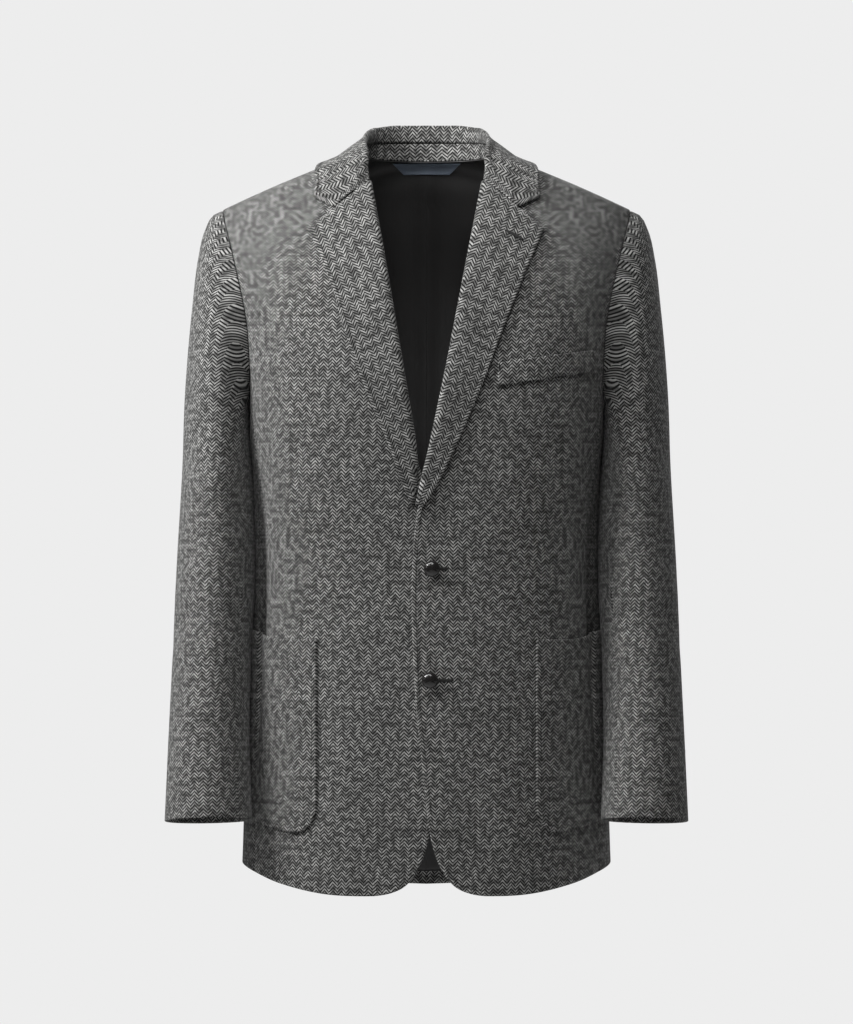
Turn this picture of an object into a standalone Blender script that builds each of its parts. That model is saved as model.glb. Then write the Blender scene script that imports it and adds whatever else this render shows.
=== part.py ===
"""A herringbone tweed sports jacket, filled out as if worn: each cut piece is a wall of cloth.

Metres, +Z up. The front faces -Y and +X is the wearer's left. The origin is on the centre line, between
the shoulders that carry the jacket. Every piece is worked out at +X; the wearer's right is its mirror image.
Grids of points run (row, column): rows from the hem upwards, columns from the front to the back.
"""

import math
from collections import namedtuple

import bpy
import numpy as np

# Cloth thicknesses and the gaps between pieces.
TWEED = 0.0020
SATIN = 0.0010
SEAM = 0.0006
SIDE_SEAM = 0.0014  # at this and the next two the walls meet at an angle, and nearly touch inside
RIDGE_SEAM = 0.0018
SLEEVE_SEAM = 0.0022
ARM_GAP = 0.0009
LIE = 0.0004

# The body: level sections are superellipses about the side line y = SIDE_Y, squarer under the arms.
SIDE_Y = 0.010
FRONT_SEAM_Y = -0.060
BACK_SEAM_Y = 0.074
Level = namedtuple("Level", "z half_width front back square side_dent")
LEVELS = [
    Level(-0.760, 0.1970, -0.130, 0.134, 2.5, 0.000),
    Level(-0.640, 0.1940, -0.131, 0.134, 2.5, 0.000),
    Level(-0.520, 0.1880, -0.129, 0.128, 2.6, 0.003),
    Level(-0.400, 0.1850, -0.128, 0.121, 2.8, 0.008),
    Level(-0.300, 0.1870, -0.136, 0.130, 3.1, 0.008),
    Level(-0.225, 0.1900, -0.139, 0.137, 3.2, 0.000),
    Level(-0.155, 0.1900, -0.130, 0.138, 3.0, 0.000),
    Level(-0.100, 0.1950, -0.113, 0.132, 2.8, 0.000),
    Level(-0.050, 0.2000, -0.086, 0.118, 2.6, 0.000),
    Level(0.000, 0.2050, -0.044, 0.100, 2.5, 0.000),
    Level(0.030, 0.2100, -0.004, 0.084, 2.5, 0.000),
]

# How far the hem stands above or below its level, by the turn from the front (0) to the back (180 degrees).
Hem = namedtuple("Hem", "turn rise")
HEM = [
    Hem(0, 0.0),
    Hem(26, 0.0),
    Hem(46, 0.009),
    Hem(66, 0.020),
    Hem(90, 0.026),
    Hem(120, 0.016),
    Hem(150, -0.002),
    Hem(180, -0.008),
]
HEM_Z = -0.755
EASE_TOP = -0.540

# The armhole, as a clock seen from the side: 0 at the shoulder, 90 at the back, 180 underarm, 270 in front.
Clock = namedtuple("Clock", "angle x y z")
ARMHOLE = [
    Clock(0, 0.2180, 0.008, -0.034),
    Clock(30, 0.2130, 0.047, -0.053),
    Clock(60, 0.2030, 0.074, -0.097),
    Clock(90, 0.1945, 0.084, -0.152),
    Clock(120, 0.1890, 0.074, -0.206),
    Clock(150, 0.1870, 0.045, -0.245),
    Clock(180, 0.1865, 0.006, -0.258),
    Clock(210, 0.1865, -0.032, -0.245),
    Clock(240, 0.1865, -0.060, -0.208),
    Clock(270, 0.1900, -0.067, -0.155),
    Clock(300, 0.2010, -0.056, -0.101),
    Clock(330, 0.2120, -0.028, -0.058),
]
CLOCK_STEP = 15
FRONT_CLOCK = 240
BACK_CLOCK = 120

# Front edges: x of the lapping (left) and of the under (right) front, each on its own side of the centre.
Edge = namedtuple("Edge", "z lap under")
FRONT_EDGE = [
    Edge(-0.755, 0.062, 0.055),
    Edge(-0.746, 0.030, 0.023),
    Edge(-0.732, 0.018, 0.011),
    Edge(-0.708, 0.0075, 0.0005),
    Edge(-0.675, 0.0010, -0.006),
    Edge(-0.630, -0.0035, -0.010),
    Edge(-0.570, -0.0100, -0.017),
    Edge(-0.500, -0.0142, -0.021),
    Edge(-0.430, -0.0156, -0.022),
    Edge(-0.351, -0.0090, -0.012),
    Edge(-0.320, -0.0030, 0.003),
    Edge(-0.260, 0.0115, 0.016),
    Edge(-0.008, 0.0600, 0.060),
    Edge(0.026, 0.0750, 0.075),
]
LAP_SHIFT = 0.0014
LAP_WIDTH = 0.075
FINE = 120  # points along a line before it is shared out into columns

# Rows of the front and side: levels up to the underarm, then heights at the edge and the armhole's clock.
LOW_LEVELS = [-0.755, -0.746, -0.732, -0.708, -0.660, -0.600, -0.540, -0.480, -0.415, -0.351, -0.300, -0.262]
FrontRow = namedtuple("FrontRow", "inner clock")
FRONT_ROWS = [
    FrontRow(-0.225, 240),
    FrontRow(-0.190, 255),
    FrontRow(-0.155, 270),
    FrontRow(-0.121, 285),
    FrontRow(-0.088, 300),
    FrontRow(-0.058, 315),
    FrontRow(-0.030, 330),
    FrontRow(0.000, 345),
    FrontRow(0.026, 360),
]
FRONT_COLUMNS = 10
SIDE_COLUMNS = 8
SIDE_START = 0.9  # the part of the half width where the side's sections start, before they are cut
SIDE_DIP = [0.45, 0.18]  # the share of the underarm's dip that the rows below it take

# Rows of the back, and its neckline from the centre back to the shoulder.
BACK_LEVELS = [-0.755, -0.700, -0.640, -0.570, -0.500, -0.430, -0.360, -0.300, -0.255]
BackRow = namedtuple("BackRow", "inner clock")
BACK_ROWS = [
    BackRow(-0.215, 120),
    BackRow(-0.180, 105),
    BackRow(-0.146, 90),
    BackRow(-0.112, 75),
    BackRow(-0.080, 60),
    BackRow(-0.050, 45),
    BackRow(-0.024, 30),
    BackRow(0.000, 15),
]
NECK_POINT = (0.075, 0.008, 0.026)
Point = namedtuple("Point", "x y z")
BACK_NECK = [
    Point(0.0, 0.085, 0.024),
    Point(0.036, 0.077, 0.0245),
    Point(0.063, 0.050, 0.025),
    Point(*NECK_POINT),
]
NECK_COLUMNS = 3
CROWN_FRONT = [0.5]
CROWN_BACK = [0.3, 0.6, 0.82]
SHOULDER_COLUMNS = 6

# Sleeve rings from the armhole to the cuff: the outer end, the inner end, and the half depth about y.
Ring = namedtuple("Ring", "outer_x outer_z inner_x inner_z y half_depth cap")
RINGS = [
    Ring(0.2190, -0.0345, 0.1870, -0.2590, 0.006, 0.077, 1.00),
    Ring(0.2280, -0.0390, 0.1872, -0.2640, 0.006, 0.078, 0.90),
    Ring(0.2370, -0.0560, 0.1872, -0.2730, 0.005, 0.079, 0.65),
    Ring(0.2440, -0.0870, 0.1865, -0.2860, 0.003, 0.079, 0.35),
    Ring(0.2510, -0.1400, 0.1850, -0.3040, 0.000, 0.078, 0.12),
    Ring(0.2575, -0.2200, 0.1830, -0.3340, -0.005, 0.076, 0.0),
    Ring(0.2630, -0.3150, 0.1820, -0.3780, -0.014, 0.071, 0.0),
    Ring(0.2680, -0.4100, 0.1825, -0.4400, -0.026, 0.065, 0.0),
    Ring(0.2715, -0.5000, 0.1855, -0.5150, -0.042, 0.059, 0.0),
    Ring(0.2750, -0.5900, 0.1865, -0.5950, -0.062, 0.053, 0.0),
    Ring(0.2795, -0.6810, 0.1830, -0.6790, -0.082, 0.048, 0.0),
]
CUFF_TILT = 0.13
TILT_FROM = -0.45
TILT_OVER = 0.22
SLEEVE_FRONT_SEAM = 225
SLEEVE_BACK_SEAM = 120

# Lapels: the roll line and the outer edge, row by row from the break up to the gorge, on the front's x and z.
LapelRow = namedtuple("LapelRow", "roll_x roll_z edge_x edge_z")
LAPEL_LAP = [
    LapelRow(-0.0090, -0.3480, -0.0050, -0.3530),
    LapelRow(-0.0030, -0.3200, 0.0060, -0.3360),
    LapelRow(0.0050, -0.2870, 0.0240, -0.3020),
    LapelRow(0.0215, -0.2080, 0.0590, -0.2220),
    LapelRow(0.0285, -0.1720, 0.0720, -0.1860),
    LapelRow(0.0448, -0.0870, 0.1020, -0.1090),
    LapelRow(0.0600, -0.0090, 0.1233, -0.0592),
]
LAPEL_UNDER = [
    LapelRow(0.0150, -0.3500, 0.0180, -0.3440),
    LapelRow(0.0120, -0.3200, 0.0290, -0.3170),
    LapelRow(0.0130, -0.2850, 0.0385, -0.2890),
    LapelRow(0.0255, -0.2080, 0.0660, -0.2220),
    LapelRow(0.0315, -0.1720, 0.0790, -0.1860),
    LapelRow(0.0458, -0.0870, 0.1030, -0.1090),
    LapelRow(0.0600, -0.0090, 0.1233, -0.0592),
]
LAPEL_WALL = 0.0024
LAPEL_SPLITS = 2
Roll = namedtuple("Roll", "part lift")
LAPEL_ROLL = [
    Roll(-0.04, 0.0016),
    Roll(0.03, 0.0034),
    Roll(0.14, 0.0046),
    Roll(0.32, 0.0036),
    Roll(0.60, 0.0020),
    Roll(1.0, 0.0010),
]
LAPEL_FULL_WIDTH = 0.045  # narrower than this, towards the break, the roll flattens out

# Collar: neck seam, fold and outer edge at stations from the centre back round to the front.
Station = namedtuple("Station", "seam fold edge")
COLLAR = [
    Station((0.000, 0.0850, 0.0245), (0.000, 0.0920, 0.0620), (0.000, 0.100, 0.010)),
    Station((0.020, 0.0830, 0.0247), (0.020, 0.0900, 0.0615), (0.028, 0.098, 0.010)),
    Station((0.038, 0.0755, 0.0250), (0.038, 0.0820, 0.0600), (0.055, 0.091, 0.009)),
    Station((0.055, 0.0605, 0.0255), (0.054, 0.0660, 0.0570), (0.080, 0.075, 0.008)),
    Station((0.067, 0.0400, 0.0260), (0.062, 0.0420, 0.0520), (0.100, 0.049, 0.009)),
    Station((0.0745, 0.0120, 0.0270), (0.065, 0.0120, 0.0440), (0.112, 0.012, 0.012)),
    Station((0.0730, -0.0110, 0.0245), (0.064, -0.0130, 0.0360), (0.116, -0.020, 0.006)),
    Station((0.0685, -0.0310, 0.0175), (0.0615, -0.0340, 0.0235), (0.118, -0.042, -0.005)),
]
Spot = namedtuple("Spot", "x z")
GORGE_LINE = [
    Spot(0.0600, -0.0060),
    Spot(0.0680, -0.0125),
    Spot(0.0760, -0.0190),
    Spot(0.0850, -0.0265),
    Spot(0.0960, -0.0355),
    Spot(0.1080, -0.0305),
    Spot(0.1190, -0.0255),
]
GORGE_LIFT = 0.0020
# The stand and the fall share the rise from neck seam to fold: parts of it, from the seam up.
STAND_FOOT = 0.09
STAND_PART = 0.53
STAND_GAP = 0.05
FOLD_START = 0.86
COLLAR_FOLD_WIDTH = 0.0055
COLLAR_CREST = 0.0006
COLLAR_DROP = 0.0030
COLLAR_BULGE = 0.003
COLLAR_SPLIT_FROM = 3

# Patch pockets, on the cloth: distance round from the centre front, and level.
POCKET_START = 0.116
POCKET_WIDTH = 0.170
POCKET_TOP = -0.489
POCKET_BOTTOM = -0.697
POCKET_CORNER = 0.034
POCKET_KICK = 0.008
POCKET_KICK_FROM = 0.042
POCKET_KICK_OVER = 0.060
POCKET_MIDDLE_ROW = 5
POCKET_ARC_POINTS = 4
POCKET_COLUMN_GAP = 0.003
POCKET_LIFT = 0.0006

# Breast pocket welt: corners on the front's x and z.
WELT_CORNERS = [Spot(0.0739, -0.2255), Spot(0.1745, -0.2095), Spot(0.1735, -0.1865), Spot(0.0739, -0.2010)]
WELT_COLUMNS = 10
WELT_LIFT = 0.0016

# Linings, label and tab.
LINING_GAP = 0.0009
LINING_HEM = 0.008
LINING_SIDE = 0.25
LINING_NECK = 0.35
PLEAT_LIFT = 0.0030
LABEL_TOP = 0.0375
LABEL_BOTTOM = 0.0250
LABEL_HIGH = 0.0190
LABEL_LOW = 0.0060
LABEL_LIFT = 0.0015
TAB_HIGH = 0.020
TAB_WIDE = 0.010
TAB_X = 0.280
TAB_Y = -0.052
TAB_Z = -0.616

# Buttons: a domed head on a shank.
BUTTON_RADIUS = 0.0086
BUTTON_HEIGHT = 0.0085
BUTTON_RIM = 0.0030
BUTTON_FOOT = 0.0070
BUTTON_SIDES = 14
DOME_POINTS = 6
SHANK_RADIUS = 0.0028
SHANK_HEIGHT = 0.0018
BUTTONS = {"button_upper": (0.0057, -0.4150), "button_lower": (0.0036, -0.5310)}

TWEED_COLOUR = (0.115, 0.113, 0.108, 1)
SATIN_COLOUR = (0.012, 0.012, 0.013, 1)
NAVY_COLOUR = (0.022, 0.030, 0.048, 1)
LEATHER_COLOUR = (0.010, 0.009, 0.009, 1)


def follow(keys, values, at):
    """Values between a table's rows, along a smooth curve through them."""
    keys = np.asarray(keys, float)
    values = np.asarray(values, float)
    at = np.clip(np.asarray(at, float), keys[0], keys[-1])
    slopes = np.gradient(values, keys, axis=0)
    i = np.clip(np.searchsorted(keys, at, side="right") - 1, 0, len(keys) - 2)
    step = keys[i + 1] - keys[i]
    t = (at - keys[i]) / step
    for _ in range(values.ndim - 1):
        t = t[..., None]
        step = step[..., None]
    blend = 3 * t**2 - 2 * t**3
    curve = values[i] * (1 - blend) + values[i + 1] * blend
    return curve + step * (slopes[i] * t * (1 - t) ** 2 - slopes[i + 1] * t**2 * (1 - t))


def smooth(t):
    t = np.clip(t, 0.0, 1.0)
    return t * t * (3 - 2 * t)


def level_value(column, z):
    return follow([row.z for row in LEVELS], [getattr(row, column) for row in LEVELS], z)


def armhole(angle):
    """The armhole's points at these clock angles."""
    keys = [row.angle for row in ARMHOLE]
    ring = [row[1:] for row in ARMHOLE]
    keys = [keys[-2] - 360, keys[-1] - 360, *keys, 360, 390]
    ring = [ring[-2], ring[-1], *ring, ring[0], ring[1]]
    return follow(keys, ring, np.mod(angle, 360))


def hem_rise(turn, z):
    """How far a level row climbs at this turn: all of it at the hem, none above the pockets."""
    rise = follow([row.turn for row in HEM], [row.rise for row in HEM], turn)
    return rise * smooth((EASE_TOP - z) / (EASE_TOP - HEM_Z))


def resample(line, count):
    """The polyline with count + 1 points, evenly spaced along it."""
    steps = np.linalg.norm(np.diff(line, axis=0), axis=1)
    length = np.concatenate([[0], np.cumsum(steps)])
    at = np.linspace(0, length[-1], count + 1)
    return np.stack([np.interp(at, length, line[:, axis]) for axis in range(3)], axis=1)


def section(z_in, x_in, end, depth, half_width=None):
    """A row of cloth from x_in to end, an (x, y, z) on the body, bowed out to depth at the centre."""
    reach = abs(depth - SIDE_Y)
    side = abs(end[1] - SIDE_Y) / reach
    square = float(level_value("square", z_in))
    if half_width is None:
        half_width = end[0] / (1 - side**square) ** (1 / square)
    first = math.asin(np.clip(abs(x_in) / half_width, 0, 1) ** (square / 2)) * np.sign(x_in)
    last = math.acos(np.clip(side, 0, 1) ** (square / 2))
    turn = np.linspace(first, last, FINE)
    power = 2 / square
    x = half_width * np.sign(turn) * np.abs(np.sin(turn)) ** power
    y = SIDE_Y + (depth - SIDE_Y) * np.cos(turn) ** power
    part = (x - x[0]) / (x[-1] - x[0])
    z = z_in + (end[2] - z_in) * part**1.5
    return np.stack([x, y, z], axis=1), np.degrees(turn)


def level_row(z, x_in, seam_y, column):
    """A level section from x_in to the seam at seam_y, climbing as the hem does. Column is front or back."""
    half_width = float(level_value("half_width", z))
    depth = float(level_value(column, z))
    line, turn = section(z, x_in, (half_width, seam_y, z), depth, half_width)
    line[:, 2] += hem_rise(turn if column == "front" else 180 - turn, z)
    return line


def edge_x(z, lap):
    edge = [row.lap if lap else row.under for row in FRONT_EDGE]
    return float(follow([row.z for row in FRONT_EDGE], edge, z))


class Panel:
    """A piece of cloth as a grid of points on its outer face, with the outward normal at each."""

    def __init__(self, points):
        self.points = np.asarray(points, float)
        across = np.gradient(self.points, axis=1)
        along = np.gradient(self.points, axis=0)
        normals = np.cross(across, along)
        self.normals = normals / np.linalg.norm(normals, axis=2, keepdims=True)

    def at(self, column, row, lift=0.0):
        """The point at a fractional column and row, moved out by lift. Past the grid it runs on straight."""
        rows, columns = self.points.shape[:2]
        i = int(np.clip(math.floor(row), 0, rows - 2))
        j = int(np.clip(math.floor(column), 0, columns - 2))
        t, s = row - i, column - j
        corners = [(a, b) for a in (0, 1) for b in (0, 1)]
        shares = [(a, b, (t if a else 1 - t) * (s if b else 1 - s)) for a, b in corners]
        point = sum(self.points[i + a, j + b] * share for a, b, share in shares)
        normal = sum(self.normals[i + a, j + b] * share for a, b, share in shares)
        return point + lift * normal / np.linalg.norm(normal)

    def seek(self, target, weights=(1, 1, 1)):
        """(column, row) of the nearest point to target, each axis counted by its weight."""
        rows, columns = self.points.shape[:2]
        weights = np.asarray(weights, float)

        def miss(spot):
            return float((((self.at(*spot) - target) * weights) ** 2).sum())

        gaps = (((self.points - target) * weights) ** 2).sum(axis=2)
        row, column = np.unravel_index(gaps.argmin(), gaps.shape)
        spot = (float(column), float(row))
        step = 0.5
        while step > 0.002:
            tries = [(spot[0] + a * step, spot[1] + b * step) for a in (-1, 0, 1) for b in (-1, 0, 1)]
            tries = [(c, r) for c, r in tries if -0.6 <= c <= columns - 0.4 and -0.6 <= r <= rows - 0.4]
            best = min(tries, key=miss)
            if miss(best) < miss(spot):
                spot = best
            else:
                step /= 2
        return spot

    def facing(self, x, z, lift):
        """The point seen from the front at this x and z, moved out by lift."""
        column, row = self.seek(np.array([x, 0, z]), (1, 0, 1))
        return self.at(column, row, lift)

    def shrunk(self, rows=(0, 0), columns=(0, 0)):
        """The same grid with its borders set in by these widths, at the first and last rows and columns."""
        points = self.points.copy()
        for axis, ends in ((0, rows), (1, columns)):
            grid = np.moveaxis(points, axis, 0)
            for edge, beside, width in ((0, 1, ends[0]), (-1, -2, ends[1])):
                run = grid[beside] - grid[edge]
                grid[edge] = grid[edge] + run * (width / np.linalg.norm(run, axis=1, keepdims=True))
        return Panel(points)


def crown(lower, seam, parts, clocks):
    """Rows that turn over the shoulder as quarter ellipses, from the row below it up to the seam."""
    rows = []
    for part in parts:
        turn = part * math.pi / 2
        row = lower + (seam - lower) * part
        row[:, 1] = seam[:, 1] + (lower[:, 1] - seam[:, 1]) * math.cos(turn)
        row[:, 2] = lower[:, 2] + (seam[:, 2] - lower[:, 2]) * math.sin(turn)
        row[-1] = armhole(clocks[0] + (clocks[1] - clocks[0]) * part)
        rows.append(row)
    return rows


def front_panel(lap):
    rows = [level_row(z, edge_x(z, lap), FRONT_SEAM_Y, "front") for z in LOW_LEVELS]
    for row in FRONT_ROWS[:-1]:
        end = armhole(row.clock)
        depth = float(level_value("front", row.inner))
        rows.append(section(row.inner, edge_x(row.inner, lap), end, depth)[0])
    grid = [resample(line, FRONT_COLUMNS) for line in rows]
    seam = resample(np.linspace(NECK_POINT, armhole(360), FINE), FRONT_COLUMNS)
    grid += crown(grid[-1], seam, CROWN_FRONT, (FRONT_ROWS[-2].clock, 360))
    grid = np.stack([*grid, seam])
    near = 1 - smooth(grid[:, :, 0] / LAP_WIDTH)
    grid[:, :, 1] += (-LAP_SHIFT if lap else LAP_SHIFT) * near
    return Panel(grid)


def back_panel():
    rows = [level_row(z, 0.0, BACK_SEAM_Y, "back") for z in BACK_LEVELS]
    for row in BACK_ROWS:
        depth = float(level_value("back", row.inner))
        rows.append(section(row.inner, 0.0, armhole(row.clock), depth)[0])
    grid = [resample(line, NECK_COLUMNS + SHOULDER_COLUMNS) for line in rows]
    neck = follow(range(len(BACK_NECK)), BACK_NECK, np.linspace(0, len(BACK_NECK) - 1, FINE))
    shoulder = np.linspace(NECK_POINT, armhole(0), FINE)
    top = np.concatenate([resample(neck, NECK_COLUMNS), resample(shoulder, SHOULDER_COLUMNS)[1:]])
    # The seam's columns settle towards the level rows' spacing over the rows below it.
    for i, row in enumerate(grid[len(BACK_LEVELS):]):
        part = (i + 1) / (len(BACK_ROWS) + 1)
        share = np.linalg.norm(np.diff(top, axis=0), axis=1)
        share = np.concatenate([[0], np.cumsum(share)]) / share.sum()
        even = np.linspace(0, 1, len(share))
        want = even + (share - even) * part
        moved = [np.interp(want, even, row[:, axis]) for axis in range(3)]
        grid[len(BACK_LEVELS) + i] = np.stack(moved, axis=1)
    grid += crown(grid[-1], top, CROWN_BACK, (BACK_ROWS[-1].clock, 0))
    return Panel(np.stack([*grid, top])[:, ::-1])


def side_panel():
    rows = []
    for z in LOW_LEVELS:
        start = float(level_value("half_width", z)) * SIDE_START
        front = level_row(z, start, SIDE_Y, "front")
        back = level_row(z, start, SIDE_Y, "back")[::-1]
        line = np.concatenate([front, back[1:]])
        inside = (line[:, 1] > FRONT_SEAM_Y) & (line[:, 1] < BACK_SEAM_Y)
        ends = [np.array([np.interp(y, line[:, 1], line[:, 0]), y, np.interp(y, line[:, 1], line[:, 2])])
                for y in (FRONT_SEAM_Y, BACK_SEAM_Y)]
        line = resample(np.concatenate([ends[:1], line[inside], ends[1:]]), SIDE_COLUMNS)
        line[:, 0] -= level_value("side_dent", z) * np.sin(np.linspace(0, np.pi, SIDE_COLUMNS + 1)) ** 2
        rows.append(line)
    under = armhole(np.arange(FRONT_CLOCK, BACK_CLOCK - 1, -CLOCK_STEP))
    # The top rows dip under the arm.
    dip = under[:, 2] - under[[0, -1], 2].mean()
    for row, share in zip(rows[::-1], SIDE_DIP):
        row[:, 2] += dip * share
    rows.append(under)
    return Panel(np.stack(rows))


def sleeve_panel():
    """The whole sleeve, open at both ends. Columns are armhole clock angles."""
    angles = np.arange(0, 361, CLOCK_STEP)
    turn = np.radians(angles)
    hole = armhole(angles)
    middle = (hole[0] + hole[12]) / 2
    chord = (hole[0] - hole[12]) / 2
    along = (hole - middle) @ chord / (chord @ chord)
    out = hole - middle - along[:, None] * chord
    grid = []
    for ring in RINGS:
        outer = np.array([ring.outer_x, ring.y, ring.outer_z])
        inner = np.array([ring.inner_x, ring.y, ring.inner_z])
        centre = (outer + inner) / 2
        arm = (outer - inner) / 2
        cap = along * ring.cap + np.cos(turn) * (1 - ring.cap)
        depth = out[:, 1] * ring.cap + np.sin(turn) * ring.half_depth * (1 - ring.cap)
        tilt = CUFF_TILT * smooth((TILT_FROM - centre[2]) / TILT_OVER)
        points = centre + cap[:, None] * arm
        points[:, 1] += depth
        points[:, 0] += out[:, 0] * ring.cap
        points[:, 2] += out[:, 2] * ring.cap - tilt * np.sin(turn) * ring.half_depth
        grid.append(points)
    grid[0] = hole + (ARM_GAP, 0, 0)
    return Panel(np.stack(grid)[:, ::-1])


def lapel_panel(front, table):
    """The lapel's under face: rows up the roll line, columns from the roll to the outer edge."""
    keys = range(len(table))
    spots = np.linspace(0, len(table) - 1, (len(table) - 1) * LAPEL_SPLITS + 1)
    grid = []
    for row in follow(keys, table, spots):
        roll, edge = row[:2], row[2:]
        width = np.linalg.norm(edge - roll)
        reach = min(1.0, width / LAPEL_FULL_WIDTH)
        line = []
        for step in LAPEL_ROLL:
            x, z = roll + (edge - roll) * step.part
            line.append(front.facing(x, z, LIE + step.lift * reach))
        grid.append(line)
    return Panel(grid)


def clear_of(panels, point, lift):
    """The point, or where it is nearer to a panel than lift, the panel's point moved out by lift."""
    for panel in panels:
        spot = panel.seek(point)
        rows, columns = panel.points.shape[:2]
        if not (0 <= spot[0] <= columns - 1 and 0 <= spot[1] <= rows - 1):
            continue
        base = panel.at(*spot)
        normal = panel.at(*spot, 1.0) - base
        if (point - base) @ normal < lift:
            point = base + lift * normal
    return point


def stations():
    """The collar's stations, with those that lie on the shoulder split by others between them."""
    keys = range(len(COLLAR))
    spots = [*range(COLLAR_SPLIT_FROM), *np.arange(COLLAR_SPLIT_FROM, len(COLLAR) - 0.9, 0.5)]
    return follow(keys, COLLAR, spots)


def collar_sections(front, back):
    """Fall sections at each station, from the stand seam over the fold down to the outer edge."""
    grid = []
    for seam, fold, edge in stations():
        out = (edge - fold) * (1, 1, 0)
        out /= np.linalg.norm(out)
        rise = fold - seam
        over = fold + out * COLLAR_FOLD_WIDTH
        half = (over + edge) / 2 + out * COLLAR_BULGE
        line = [
            seam + rise * (STAND_PART + STAND_GAP),
            seam + rise * FOLD_START,
            fold + out * COLLAR_FOLD_WIDTH / 2 + (0, 0, COLLAR_CREST),
            over - (0, 0, COLLAR_DROP),
            (over + half) / 2,
            (half + edge) / 2,
            edge,
        ]
        grid.append(line[:3] + [clear_of((front, back), point, TWEED + LIE) for point in line[3:]])
    grid.append([front.facing(*spot, GORGE_LIFT) for spot in GORGE_LINE])
    return np.array(grid)


def both_sides(grid):
    """Sections from the centre to the wearer's left end, carried round to the right end as well."""
    other = grid[:0:-1] * (-1, 1, 1)
    return Panel(np.concatenate([other, grid])[::-1])


def stand_sections():
    """The stand: an upright band from the neck seam to where the fall is sewn on."""
    grid = []
    for seam, fold, _ in stations():
        rise = fold - seam
        grid.append([seam + rise * part for part in (STAND_FOOT, STAND_PART / 2, STAND_PART)])
    return np.array(grid)


def pocket_panel(front, side):
    """A patch pocket's under face, on the cloth of the front and on round the side body.

    Its points share the rows and columns of the cloth beneath, so the two lie flat on each other.
    """
    rows = len(LOW_LEVELS)
    skirt = Panel(np.concatenate([front.points[:rows], side.points[:rows, 1:]], axis=1))
    steps = np.linalg.norm(np.diff(skirt.points, axis=1), axis=2)
    length = np.concatenate([np.zeros((rows, 1)), np.cumsum(steps, axis=1)], axis=1)
    length += skirt.points[:, :1, 0]
    columns = np.arange(length.shape[1])
    middle = length[POCKET_MIDDLE_ROW] - POCKET_START
    arc = np.sin(np.linspace(0, np.pi / 2, POCKET_ARC_POINTS))
    near = [(distance, None) for distance in POCKET_CORNER * (1 - arc[::-1])]
    far = [(POCKET_WIDTH - POCKET_CORNER * (1 - part), None) for part in arc]
    inside = (middle > POCKET_COLUMN_GAP) & (middle < POCKET_WIDTH - POCKET_COLUMN_GAP)
    shared = [(middle[c], c) for c in columns[inside]]
    across = sorted(near + far + shared, key=lambda pair: pair[0])

    def spot(distance, column, row):
        i = min(int(row), rows - 2)
        ends = [np.interp(POCKET_START + distance, length[k], columns) for k in (i, i + 1)]
        return column if column is not None else ends[0] + (ends[1] - ends[0]) * (row - i)

    grid = []
    for distance, column in across:
        inset = max(POCKET_CORNER - distance, distance - POCKET_WIDTH + POCKET_CORNER, 0)
        bottom = POCKET_BOTTOM + POCKET_CORNER - math.sqrt(max(POCKET_CORNER**2 - inset**2, 0))
        top = POCKET_TOP + POCKET_KICK * smooth((distance - POCKET_KICK_FROM) / POCKET_KICK_OVER)
        ends = np.interp([bottom, top], LOW_LEVELS, range(rows))
        steps = [ends[0], *range(math.ceil(ends[0] + 0.01), math.floor(ends[1] - 0.01) + 1), ends[1]]
        grid.append([skirt.at(spot(distance, column, row), row, POCKET_LIFT) for row in steps])
    return Panel(np.swapaxes(np.array(grid), 0, 1))


def welt_panel(front):
    low_in, low_out, high_out, high_in = (np.array(corner) for corner in WELT_CORNERS)
    grid = []
    for up in np.linspace(0, 1, 3):
        start = low_in + (high_in - low_in) * up
        end = low_out + (high_out - low_out) * up
        spots = np.linspace(start, end, WELT_COLUMNS + 1)
        grid.append([front.facing(x, z, WELT_LIFT) for x, z in spots])
    return Panel(grid)


def lining_panel(back):
    """Inside the back, from the side seam to the pleat at the centre back."""
    rows, columns = back.points.shape[:2]
    first = LINING_HEM / np.linalg.norm(back.points[1, 0] - back.points[0, 0])
    spots = [first, *range(1, rows - 1 - len(CROWN_BACK)), rows - 1 - LINING_NECK]
    across = [LINING_SIDE, *range(1, columns)]
    grid = np.array([[back.at(column, row, -TWEED - LINING_GAP) for column in across] for row in spots])
    grid[:, -1] += (SEAM, -PLEAT_LIFT, 0)
    return Panel(grid)


def label_panel(lining):
    """A folded label at the neck seam, wider at the top, over the lining."""
    grid = []
    for part, width in ((0, LABEL_BOTTOM), (1, LABEL_TOP)):
        z = LABEL_LOW + (LABEL_HIGH - LABEL_LOW) * part
        spots = [lining.seek(np.array([x, 0, z]), (1, 0, 1)) for x in np.linspace(0, width, 3)]
        grid.append([lining.at(column, row, -SATIN - LABEL_LIFT) for column, row in spots])
    grid = np.array(grid)
    grid[:, 0, 0] = 0
    other = grid[:, :0:-1] * (-1, 1, 1)
    return Panel(np.concatenate([other, grid], axis=1)[:, ::-1])


def tab_panel(sleeve):
    """A small folded tab on the outer side of the left sleeve, near the cuff."""
    grid = []
    for z in (TAB_Z - TAB_HIGH / 2, TAB_Z + TAB_HIGH / 2):
        across = np.linspace(TAB_Y - TAB_WIDE / 2, TAB_Y + TAB_WIDE / 2, 3)
        spots = [sleeve.seek(np.array([TAB_X, y, z])) for y in across]
        grid.append([sleeve.at(column, row, LIE) for column, row in spots])
    return Panel(grid)


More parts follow.
